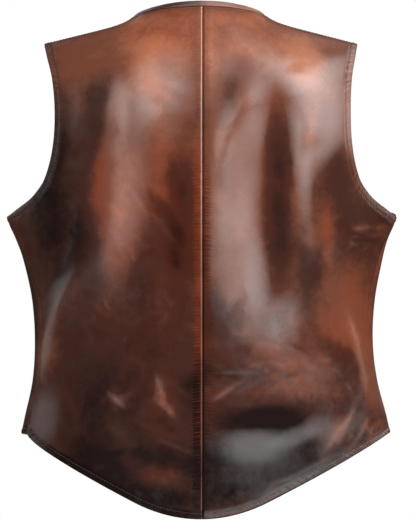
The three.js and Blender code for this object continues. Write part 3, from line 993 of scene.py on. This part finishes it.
# What the middle seam adds on each side: to which attribute, along which part of the seam, how much,
# and the levels between which it sets in
MIDDLE_FINISH = {
    LEFT: (
        ("shine", "upper strip", -0.12, (-100, -160)),
        ("rust", "strip", 0.4, (-120, -190)),
        ("rust", "bead", -0.6, None),
        ("shine", "bead", 0.1, None),
        ("shine", "bead", 0.7, (-400, -250)),
        # The top of the bead is painted lighter, partly a worn edge and partly a painted highlight
        ("burnish_and_painted_light", "bead top", 0.3, None),
        ("burnish_and_painted_light", "strip", 0.03, (-150, -200)),
        ("burnish_and_painted_light", "beside bead", -0.16, (-390, -460)),
    ),
    RIGHT: (
        ("shine", "upper strip", -0.12, (-100, -160)),
        ("rust", "strip", 0.25, (-120, -220)),
        ("burnish_and_painted_light", "strip", -0.06, (-60, -200)),
        # Painted shade darkens the dip under the bead, less so higher up
        ("burnish_and_painted_light", "dip", -0.4, None),
        ("burnish_and_painted_light", "dip", 0.18, (-400, -250)),
        ("shine", "wide dip", -0.6, None),
    ),
}

# The rust, burnish and shine of the band between a turned edge and its stitches, and where they differ. The
# lighter bands of the back's right armhole and hem are partly painted highlight
BAND_PLAIN = (0, 0, 0.18)
BAND_FINISH = {
    ("arm", BACK, RIGHT): (0, 0.08, 0.6),
    ("bottom", BACK, LEFT): (-0.5, -0.24, 0),
    ("bottom", BACK, RIGHT): (-0.5, 0.04, 0.42),
    ("bottom", FRONT, LEFT): (-0.5, -0.24, 0),
    ("bottom", FRONT, RIGHT): (-0.5, 0, 0),
}
BAND_RIBS, BAND_FADE, BAND_RISE = 0.9, (5, 1), (0.8, 2.0)
STITCH_SHADE, RIM_SHADE, RIM_FADE = 0.12, 0.2, (1.8, 0.4)


def middle_finish(panel, look):
    """Adds the finish of the middle seam, and returns how strongly it is ribbed."""
    away, z, side = panel.away["inner"], panel.z, panel.side
    strip, bead = smooth(*MIDDLE_FADE[side], away), bell(away - BEAD_SHINE_AT, BEAD_SHINE_WIDE)
    parts = {
        "strip": strip,
        "upper strip": strip * smooth(*UPPER_STRIP, z),
        "bead": bead,
        "bead top": bell(away - BEAD_SHINE_AT, BEAD_TOP_WIDE),
        "beside bead": strip * (1 - bead),
        "dip": bell(away - DIP_SHADE_AT, DIP_SHADE_WIDE),
        "wide dip": bell(away - DIP_SHADE_AT, DIP_DULL_WIDE),
    }
    for key, part, amount, levels in MIDDLE_FINISH[side]:
        look[key] += amount * parts[part] * (smooth(*levels, z) if levels else 1)
    strength = read(SEAM_PUCKERS, SIDE_NAME[side], z)
    strength *= mix(HIGH_RIBS, MIDDLE_RIBS[side], smooth(*RIBS_LEVELS, z))
    return strength * smooth(*RIBS_OUTER, away) * smooth(*RIBS_INNER, away)


def turned_finish(panel, look, edge, stitch):
    """Adds the finish of a turned edge, and returns how strongly it is ribbed."""
    away = panel.away[edge]
    outer, inner = BAND_FADE
    mask = BAND_RIBS * smooth(stitch + outer, stitch + inner, away) * smooth(*BAND_RISE, away)
    look["burnish_and_painted_light"] -= STITCH_SHADE * bell(away - stitch, 1.0) + RIM_SHADE * smooth(*RIM_FADE, away)
    amounts = BAND_FINISH.get((edge, panel.face, panel.side), BAND_PLAIN)
    for key, amount in zip(("rust", "burnish_and_painted_light", "shine"), amounts):
        look[key] += amount * mask
    return mask


def finish_of(panel):
    """Attributes for the leather's material: burnish with painted light and shade, rust, shine, and the fine
    ribs across its edges.
    """
    face, x, z = panel.face, panel.x, panel.z
    look = {
        "burnish_and_painted_light": BASE_BURNISH + patches_at(BURNISH_AND_PAINTED_LIGHT[face], "add", x, z),
        "rust": patches_at(BURNISH_AND_PAINTED_LIGHT[face], "rust", x, z),
        "shine": BASE_SHINE + patches_at(SHINE[face], "add", x, z, SHINE_POWER),
        "ribs": np.zeros_like(x),
        "rib_mask": np.zeros_like(x),
    }
    # Painted highlights on the crests of creases and painted shade in their troughs
    worn = np.tanh(creased(face, x, z))
    look["burnish_and_painted_light"] += CREASE_LIGHT_AND_SHADE * worn
    look["shine"] += CREST_SHINE * np.maximum(worn, 0)
    if face == BACK:
        # Painted highlights along the sharpest creases of the backs
        lines = patches_at(BACK_HIGHLIGHT_LINES, "light", x, z)
        look["burnish_and_painted_light"] += LINE_HIGHLIGHT * lines
        look["shine"] += LINE_SHINE * lines
    for edge, stitch in STITCHES.items():
        if edge == "inner" and face == BACK:
            mask, slant = middle_finish(panel, look), MIDDLE_SLANT
        else:
            mask, slant = turned_finish(panel, look, edge, stitch), EDGE_SLANT
        lie = panel.along[edge] + slant * panel.away[edge]
        look["ribs"] = np.where(mask > look["rib_mask"], lie, look["ribs"])
        look["rib_mask"] = np.maximum(mask, look["rib_mask"])
    return look


def panel_object(name, panel):
    """The closed shell of a panel, with its grain side, its flesh side and its turned hems."""
    turned = np.minimum(panel.away["arm"], panel.away["bottom"])
    if panel.face == FRONT:
        turned = np.minimum(turned, panel.away["inner"])
    rim = np.minimum.reduce(list(panel.away.values()))
    thicker = smooth(TURNING + TURNING_SOFT, TURNING - TURNING_SOFT, turned)
    thicker *= TURNED_EXTRA * smooth(0, TURNING_RISE, turned)
    under = panel.form - WALL - thicker - rounded(rim, UNDER_ROUND)
    inner = inset(panel.base + panel.normal * under[..., None])
    return shell(name, inset(panel.points()), inner, finish_of(panel), lined=True)


# Turnings of the middle seam: their half width, wall, distance under the back, and how they pass the hem
TURNING_HALF, TURNING_WALL, TURNING_CLEAR, TURNING_END = 7.0, 1.2, 0.3, 1.0
TURNING_COLUMNS, HEM_FROM, HEM_TO = 7, 3, 1


def seam_turnings():
    """The turnings of the middle seam, pressed flat inside the back. They close the seam from behind."""
    low = float(back_hem_z(0.0)) + TURNING_END
    levels = np.arange(low, BACK_NECK_Z - TURNING_END, ROW_STEP)
    x, z = np.meshgrid(np.linspace(0, TURNING_HALF, TURNING_COLUMNS), levels)
    turned = TURNED_EXTRA * smooth(TURNING + HEM_FROM, TURNING + HEM_TO, z - low)
    outer, inner = [], []
    for side, way in ((RIGHT, np.s_[:, :0:-1]), (LEFT, np.s_[:])):
        base, normal, lie = skin(side, BACK, x, z)
        lie = lie - WALL - TURNING_CLEAR - turned
        outer.append((base + normal * lie[..., None])[way])
        inner.append((base + normal * (lie - TURNING_WALL)[..., None])[way])
    return shell("back_seam_turnings", np.concatenate(outer, axis=1), np.concatenate(inner, axis=1))


def stitch_points(path):
    """Even places along a path, the direction of the path there, and the normal."""
    half = STITCH_PITCH / 2
    at = np.arange(half, path[-1, 0], STITCH_PITCH)

    def columns(where, first):
        return np.stack([np.interp(where, path[:, 0], path[:, first + k]) for k in range(3)], axis=-1)

    ahead, behind = columns(at + half, 1), columns(at - half, 1)
    return (ahead + behind) / 2, unit(ahead - behind), unit(columns(at, 4))


def circle(sides, one, two):
    """A unit circle of points in the plane of two directions."""
    around = np.linspace(0, 2 * np.pi, sides, endpoint=False)
    return np.outer(np.cos(around), one) + np.outer(np.sin(around), two)


def ring_faces(rings, sides, start=0):
    """Faces that join each ring of points to the next one."""
    faces = []
    for low in range(start, start + (rings - 1) * sides, sides):
        for q in range(sides):
            after = (q + 1) % sides
            faces.append((low + q, low + after, low + sides + after, low + sides + q))
    return faces


# A stitch: a thread that narrows and dips into the leather towards its ends, at a slant to the row
STITCH_SIDES, STITCH_RINGS, STITCH_SLANT = 6, 5, 0.12
STITCH_NARROW, STITCH_THIN, STITCH_PROUD, STITCH_DIP = 0.85, 0.04, 0.75, 1.3


def stitches(name, paths):
    """A joined mesh of stitches along paths."""
    along = np.linspace(-1, 1, STITCH_RINGS)
    points, faces, count = [], [], 0
    for path in paths:
        for middle, direction, normal in zip(*stitch_points(path)):
            across = unit(np.cross(normal, direction))
            skew = (direction + STITCH_SLANT * across) * STITCH_LENGTH / 2
            ring = circle(STITCH_SIDES, across, normal)
            for u in along:
                size = STITCH_RADIUS * math.sqrt(max(STITCH_THIN, 1 - STITCH_NARROW * u**4))
                lift = STITCH_RADIUS * (STITCH_PROUD - STITCH_DIP * u**4)
                points.append(middle + skew * u + normal * lift + size * ring)
            faces += ring_faces(STITCH_RINGS, STITCH_SIDES, count)
            last = count + (STITCH_RINGS - 1) * STITCH_SIDES
            faces.append(tuple(range(count + STITCH_SIDES - 1, count - 1, -1)))
            faces.append(tuple(range(last, last + STITCH_SIDES)))
            count += STITCH_RINGS * STITCH_SIDES
    return new_mesh(name, np.concatenate(points), faces)


def srgb(red, green, blue):
    """A colour given as on a screen, 0 to 255, as the linear values a shader takes."""
    screen = np.array([red, green, blue]) / 255
    linear = np.where(screen <= 0.04045, screen / 12.92, ((screen + 0.055) / 1.055) ** 2.4)
    return (*linear, 1.0)


class Nodes:
    """A short way to add and join the nodes of a material or a world."""

    def __init__(self, owner):
        self.owner = owner
        owner.use_nodes = True
        self.tree = owner.node_tree
        self.tree.nodes.clear()

    def add(self, kind, inputs=None, **settings):
        """A new node. An input is a plain value, or a socket to be joined to it."""
        node = self.tree.nodes.new(kind)
        for key, value in settings.items():
            setattr(node, key, value)
        for key, value in (inputs or {}).items():
            if isinstance(value, bpy.types.NodeSocket):
                self.tree.links.new(value, node.inputs[key])
            else:
                node.inputs[key].default_value = value
        return node

    def surface(self, inputs):
        shader = self.add("ShaderNodeBsdfPrincipled", inputs)
        self.add("ShaderNodeOutputMaterial", {"Surface": shader.outputs[0]})
        return self.owner

    def place(self):
        return self.add("ShaderNodeTexCoord").outputs["Object"]

    def attribute(self, name):
        return self.add("ShaderNodeAttribute", attribute_name=name).outputs["Fac"]

    def math(self, operation, a, b, clamp=False):
        return self.add("ShaderNodeMath", {0: a, 1: b}, operation=operation, use_clamp=clamp).outputs[0]

    def noise(self, scale, detail, rough, distort=0.0):
        inputs = {"Scale": scale, "Detail": detail, "Roughness": rough, "Distortion": distort}
        return self.add("ShaderNodeTexNoise", {"Vector": self.place(), **inputs}).outputs["Fac"]

    def centred(self, value, amount):
        """A value from 0 to 1 as one round nought, times an amount."""
        return self.math("MULTIPLY", self.math("SUBTRACT", value, 0.5), amount)

    def clouded(self, value, *layers):
        """A value with layers of noise, each an amount and then what the noise takes."""
        for amount, *look in layers:
            value = self.math("ADD", value, self.centred(self.noise(*look), amount))
        return value

    def ribs(self, pitch):
        """Uneven ribs across a stitched edge."""
        at = self.math("MULTIPLY", self.attribute("ribs"), 2 / pitch)
        inputs = {"W": at, "Scale": 1.0, "Detail": 1.0}
        node = self.add("ShaderNodeTexNoise", inputs, noise_dimensions="1D")
        sharper = self.math("ADD", self.centred(node.outputs["Fac"], RIB_CONTRAST), 0.5, clamp=True)
        return self.math("MULTIPLY", sharper, self.attribute("rib_mask"))

    def ramp(self, value, *stops):
        node = self.add("ShaderNodeValToRGB", {"Fac": value})
        node.color_ramp.interpolation = "EASE"
        while len(node.color_ramp.elements) < len(stops):
            node.color_ramp.elements.new(0.5)
        for element, (place, colour) in zip(node.color_ramp.elements, stops):
            element.position = place
            element.color = colour
        return node.outputs["Color"]

    def bump(self, height, strength, distance, below=None):
        inputs = {"Height": height, "Strength": strength, "Distance": distance}
        if below is not None:
            inputs["Normal"] = below
        return self.add("ShaderNodeBump", inputs).outputs["Normal"]


# The leather's colours from the darkest tone to the lightest, a tone that carries the burnish and painted
# light and shade, and the same where it is rusty
STOP_PLACES = (0.0, 0.22, 0.45, 0.7, 1.0)
LEATHER_COLOURS = ((22, 13, 12), (51, 29, 23), (92, 53, 39), (140, 85, 62), (188, 124, 95))
RUST_COLOURS = ((30, 12, 8), (68, 25, 12), (114, 46, 22), (160, 76, 40), (204, 112, 66))

# Clouding of the leather: for each layer of noise an amount, scale, detail, roughness and distortion
BURNISH_NOISE = ((0.24, 13, 4, 0.55, 0.6), (0.18, 60, 5, 0.65, 0.9), (0.08, 420, 3, 0.6))
RUST_NOISE = ((0.4, 21, 3, 0.5),)
GLOSS_NOISE = ((0.12, 60, 4, 0.6), (0.06, 700, 2, 0.5))
SHINE_NOISE = ((0.2, 34, 4, 0.6), (0.25, 110, 5, 0.65))
# How strongly the ribs are painted into the colour: painted highlights on their ridges, painted shade in
# their grooves
RIB_LIGHT_AND_SHADE = 0.34

# Fine relief of the leather: what its noise takes, and the strength and distance of its bump
PORES, PORE_BUMP = 820, (0.08, 0.0003)
WRINKLES, WRINKLE_BUMP = (210, 4, 0.6, 0.8), (0.2, 0.0005)
WAVES, WAVE_BUMP = (45, 3, 0.5, 0.5), (0.16, 0.0014)
RIB_BUMP = (0.6, 0.0012)

# Gloss of the leather of the panels and of the band, and the band's cooler tint
PANEL_GLOSS, BAND_GLOSS = 0.25, 0.38
NO_TINT, BAND_TINT = (1, 1, 1, 1), (0.82, 0.86, 0.95, 1)


def material(name):
    return Nodes(bpy.data.materials.new(name))


def tinted_stops(colours, tint):
    return [(place, np.array(srgb(*colour)) * tint) for place, colour in zip(STOP_PLACES, colours)]


def grain_leather(name, tint, gloss):
    """Glossy burnished leather: cloudy colour with painted light and shade, fine grain, ribs across stitched
    edges.
    """
    n = material(name)
    ribs = n.ribs(RIB_PITCH)
    # The ribs are painted into the colour as well, lighter on their ridges and darker in their grooves:
    # painted light and shade
    level = n.math("MULTIPLY", n.attribute("rib_mask"), 0.5)
    rib_light_and_shade = n.math("MULTIPLY", n.math("SUBTRACT", ribs, level), RIB_LIGHT_AND_SHADE)
    burnish_and_painted_light = n.math("ADD", n.clouded(n.attribute("burnish_and_painted_light"), *BURNISH_NOISE), rib_light_and_shade, clamp=True)
    plain, rusty = (n.ramp(burnish_and_painted_light, *tinted_stops(c, tint)) for c in (LEATHER_COLOURS, RUST_COLOURS))
    rust = n.clouded(n.attribute("rust"), *RUST_NOISE)
    colour = n.add("ShaderNodeMix", {0: rust, 6: plain, 7: rusty}, data_type="RGBA").outputs[2]
    wax = n.math("MINIMUM", n.clouded(n.attribute("shine"), *SHINE_NOISE), 1.0)
    cells = n.add("ShaderNodeTexVoronoi", {"Vector": n.place(), "Scale": PORES}).outputs["Distance"]
    relief = n.bump(cells, *PORE_BUMP)
    relief = n.bump(n.noise(*WRINKLES), *WRINKLE_BUMP, relief)
    relief = n.bump(n.noise(*WAVES), *WAVE_BUMP, relief)
    return n.surface({
        "Base Color": colour,
        "Roughness": n.clouded(gloss, *GLOSS_NOISE),
        "Specular IOR Level": n.math("MAXIMUM", wax, LEAST_SHINE),
        "Normal": n.bump(ribs, *RIB_BUMP, relief),
    })


# The other materials: what their noise takes, the colours at two places of it, and their bump
NAP, NAP_CLOUD, NAP_BUMP = (900, 4, 0.7), (20, 3, 0.5), (0.5, 0.0005)
NAP_COLOURS = ((0.25, srgb(70, 44, 31)), (0.75, srgb(112, 76, 54)))
TWIST, TWIST_PLACES, TWIST_BUMP = (1500, 2, 0.5), (0.3, 0.7), (0.4, 0.0002)
WEAR, PITS, PIT_BUMP = (180, 4, 0.6), (600, 3, 0.5), (0.12, 0.0002)
METAL_COLOURS = ((0.35, srgb(58, 44, 32)), (0.65, srgb(122, 98, 66)))
METAL_ROUGH, WORN_ROUGH = 0.24, 0.25
FLOOR_CLOUD = (3, 2, 0.5)
FLOOR_COLOURS = ((0.3, srgb(236, 235, 233)), (0.7, srgb(241, 240, 238)))


def flesh_leather(name):
    """The napped inner side of the leather."""
    n = material(name)
    nap = n.noise(*NAP)
    cloud = n.noise(*NAP_CLOUD)
    tone = n.math("ADD", n.math("MULTIPLY", nap, 0.5), n.math("MULTIPLY", cloud, 0.5))
    return n.surface({
        "Base Color": n.ramp(tone, *NAP_COLOURS),
        "Roughness": 0.9,
        "Sheen Weight": 0.25,
        "Normal": n.bump(nap, *NAP_BUMP),
    })


def thread(name, *colours):
    n = material(name)
    twist = n.noise(*TWIST)
    return n.surface({
        "Base Color": n.ramp(twist, *zip(TWIST_PLACES, (srgb(*colour) for colour in colours))),
        "Roughness": 0.6,
        "Normal": n.bump(twist, *TWIST_BUMP),
    })


def antique_metal(name):
    n = material(name)
    worn = n.noise(*WEAR)
    return n.surface({
        "Base Color": n.ramp(worn, *METAL_COLOURS),
        "Metallic": 1.0,
        "Roughness": n.math("ADD", METAL_ROUGH, n.math("MULTIPLY", worn, WORN_ROUGH)),
        "Normal": n.bump(n.noise(*PITS), *PIT_BUMP),
    })


def dress(obj, slot, *looks):
    for look in looks:
        obj.data.materials.append(look)
    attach(obj, "root")
    return obj


# Neck band: a narrow binding that stands on the back neck edge
BAND_COLUMNS = 150
BAND_TONE, BAND_STEP, BAND_BLEND, BAND_SHINE = 0.42, 0.14, 6, 0.6
BAND_WAVE, SHORT_WAVE, LONG_WAVE, BAND_HOLLOW = 0.12, 3.1, 7.7, 0.5
BAND_PROFILE = table("""
up out
0 -1.2
0.02 -0.5
0.08 0
0.2 0.25
0.4 0.35
0.5 0.2
0.6 0.35
0.8 0.3
0.9 0.1
0.97 -0.4
1 -1.3
""")


def neck_band():
    shares = np.sin(np.pi / 2 * np.linspace(-1, 1, 2 * BAND_COLUMNS + 1))
    up, out = BAND_PROFILE["up"][:, None], BAND_PROFILE["out"][:, None]
    outer, inner = [], []
    for side, part in ((RIGHT, -shares[shares < 0]), (LEFT, shares[shares >= 0])):
        half = mix(neck_half(side) - BAND_CLEAR, band_half(side), up)
        far = half * part
        level = mix(BACK_NECK_Z + BAND_CLEAR + up * BAND_TALL, crest_z(side, half), part**NECK_BEND)
        base, normal, lie = skin(side, BACK, far, np.minimum(level, crest_z(side, far)))
        wave = BAND_WAVE * np.sin(far / SHORT_WAVE) * np.sin(far / LONG_WAVE + side)
        outer.append(base + normal * (lie + BAND_PROUD + out + wave)[..., None])
        inner.append(base + normal * (lie + BAND_PROUD - BAND_WALL - BAND_HOLLOW * out)[..., None])
    outer, inner = (inset(np.concatenate(grids, axis=1)) for grids in (outer, inner))
    x = outer[..., 0]
    tone = BAND_TONE - BAND_STEP * np.sign(x) * smooth(0, BAND_BLEND, np.abs(x))
    return shell("neck_band_leather", outer, inner, {"burnish_and_painted_light": tone, "shine": np.full(x.shape, BAND_SHINE)})


# Snap caps: a domed cap with a ring round it
SNAP_PROFILE = table("""
radius high
0 0.86
0.18 0.9
0.42 0.97
0.6 1
0.74 0.94
0.8 0.78
0.83 0.62
0.87 0.6
0.93 0.66
0.98 0.52
1 0.3
0.99 0.08
0.96 0
0 0
""")
SNAP_SIDES, SNAP_CENTRE = 48, 0.001

# Rows of stitches: the edge they follow, and how far from it
SEWING = (
    ("back_armhole_stitching", BACK, "arm", ARM_STITCH),
    ("back_hem_stitching", BACK, "bottom", HEM_STITCH),
    ("shoulder_stitching", BACK, "top", SHOULDER_STITCH),
    ("front_armhole_stitching", FRONT, "arm", ARM_STITCH),
    ("front_hem_stitching", FRONT, "bottom", HEM_STITCH),
    ("front_edge_stitching", FRONT, "inner", FRONT_STITCH),
)


def snap_cap(number):
    z = np.array([SNAP_TOP_Z - number * SNAP_PITCH], float)
    base, normal, lie = (part[0] for part in skin(LEFT, FRONT, np.zeros(1), z))
    seat = base + normal * (lie + SEAM_GAP)
    across = unit(np.cross(normal, np.array([0, 0, 1.0])))
    ring = circle(SNAP_SIDES, across, np.cross(across, normal))
    sizes = np.maximum(SNAP_PROFILE["radius"], SNAP_CENTRE) * SNAP_RADIUS
    levels = SNAP_PROFILE["high"] * SNAP_HIGH
    rings = [seat + size * ring + normal * level for size, level in zip(sizes, levels)]
    faces = [face[::-1] for face in ring_faces(len(rings), SNAP_SIDES)]
    return new_mesh(f"snap_{number + 1}", np.concatenate(rings), faces)


def build_vest():
    grain = grain_leather("burnished_leather", NO_TINT, PANEL_GLOSS)
    flesh = flesh_leather("flesh_side")
    binding = grain_leather("band_leather", BAND_TINT, BAND_GLOSS)
    brown_thread = thread("brown_thread", (55.5, 34.5, 25.5), (74, 46, 34))
    metal = antique_metal("antique_brass")
    panels = {(face, side): make_panel(side, face) for face in (BACK, FRONT) for side in (LEFT, RIGHT)}
    for (face, side), panel in panels.items():
        name, slot = f"{FACE_NAME[face]}_{SIDE_NAME[side]}", f"{FACE_NAME[face]}_leather"
        obj = dress(panel_object(name + "_leather", panel), slot, grain, flesh)
        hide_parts(name)
    dress(seam_turnings(), "back_leather", flesh)
    band = dress(neck_band(), "band_leather", binding)
    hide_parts("neck_band")
    for name, face, edge, away in SEWING:
        paths = [panels[face, side].line_at(edge, away) for side in (LEFT, RIGHT)]
        dress(stitches(name, paths), f"{FACE_NAME[face]}_leather", brown_thread)
    for number in range(SNAP_COUNT):
        cap = dress(snap_cap(number), "snap_metal", metal)
        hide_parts(f"snap_cap_{number + 1}")


# Studio. Each softbox: azimuth from straight behind to the wearer's left, height, size and radiance
CAMERA_PLACE = (-0.0066, 3.6, -0.3012)
CAMERA_LENS, SENSOR_WIDTH = 201.5, 36.0
FLOOR_Z, FLOOR_RADIUS, FLOOR_FADE, FLOOR_SIDES = -1.45, 3.4, 0.7, 96
WORLD_SEEN = {"Color": (1, 1, 1, 1), "Strength": 1.0}
WORLD_FILL = {"Color": (1.0, 0.98, 0.96, 1), "Strength": 0.06}
LIGHT_CENTRE, LIGHT_REACH = Vector((0, 0, -0.3)), 2.6
SOFTBOXES = {
    "key_right": (-57, 30, 60, 76, 3.05),
    "strip_right": (-14.5, -4, 23, 44, 2.85),
    "strip_left": (26, 13, 40, 64, 2.9),
    "top": (-14, 49, 76, 36, 1.55),
    "left_side": (88, 5, 36, 30, 1.1),
    "front_right": (-132, 24, 28, 40, 2.6),
    "front_left": (134, 24, 24, 40, 2.4),
    "front_top": (180, 60, 50, 26, 0.5),
}


def place_camera():
    data = bpy.data.cameras.new("camera")
    data.lens = CAMERA_LENS
    data.sensor_width = SENSOR_WIDTH
    camera = new_object("camera", data)
    camera.location = CAMERA_PLACE
    camera.rotation_euler = (math.radians(90), 0, math.radians(180))
    bpy.context.scene.camera = camera


def softbox(name, azimuth, height, wide, tall, radiance):
    turn, rise = math.radians(azimuth), math.radians(height)
    away = Vector((math.sin(turn) * math.cos(rise), math.cos(turn) * math.cos(rise), math.sin(rise)))
    data = bpy.data.lights.new(name, "AREA")
    data.shape = "RECTANGLE"
    data.size, data.size_y = (2 * LIGHT_REACH * math.tan(math.radians(angle / 2)) for angle in (wide, tall))
    data.energy = radiance * math.pi * data.size * data.size_y
    light = new_object(name, data)
    light.location = LIGHT_CENTRE + away * LIGHT_REACH
    light.rotation_mode = "QUATERNION"
    light.rotation_quaternion = (-away).to_track_quat("-Z", "Y")
    light.visible_camera = False


def studio_world():
    """A world that the camera sees as white, and that lights the vest only faintly."""
    n = Nodes(bpy.data.worlds.new("studio"))
    seen, fill = (n.add("ShaderNodeBackground", look).outputs[0] for look in (WORLD_SEEN, WORLD_FILL))
    camera = n.add("ShaderNodeLightPath").outputs["Is Camera Ray"]
    both = n.add("ShaderNodeMixShader", {0: camera, 1: fill, 2: seen}).outputs[0]
    n.add("ShaderNodeOutputWorld", {"Surface": both})
    bpy.context.scene.world = n.owner


def pale_floor():
    """A round floor that fades out into the background."""
    ring = circle(FLOOR_SIDES, (1, 0, 0), (0, 1, 0)) * FLOOR_RADIUS / MM
    ring[:, 2] = FLOOR_Z / MM
    floor = new_mesh("floor", ring, [tuple(range(FLOOR_SIDES))])
    n = material("pale_floor")
    flat = n.add("ShaderNodeVectorMath", {0: n.place(), 1: (1, 1, 0)}, operation="MULTIPLY").outputs[0]
    spread = n.add("ShaderNodeVectorMath", {0: flat}, operation="LENGTH").outputs["Value"]
    fade = {"Value": spread, "From Min": FLOOR_FADE, "From Max": FLOOR_RADIUS, "To Min": 1.0, "To Max": 0.0}
    floor.data.materials.append(n.surface({
        "Base Color": n.ramp(n.noise(*FLOOR_CLOUD), *FLOOR_COLOURS),
        "Roughness": 0.8,
        "Specular IOR Level": 0.2,
        "Alpha": n.add("ShaderNodeMapRange", fade, interpolation_type="SMOOTHSTEP").outputs["Result"],
    }))


def build_studio():
    studio_world()
    pale_floor()
    for name, values in SOFTBOXES.items():
        softbox(name, *values)
    bpy.context.scene.view_settings.view_transform = "Standard"
    bpy.context.scene.view_settings.look = "None"


place_camera()
build_vest()
build_studio()
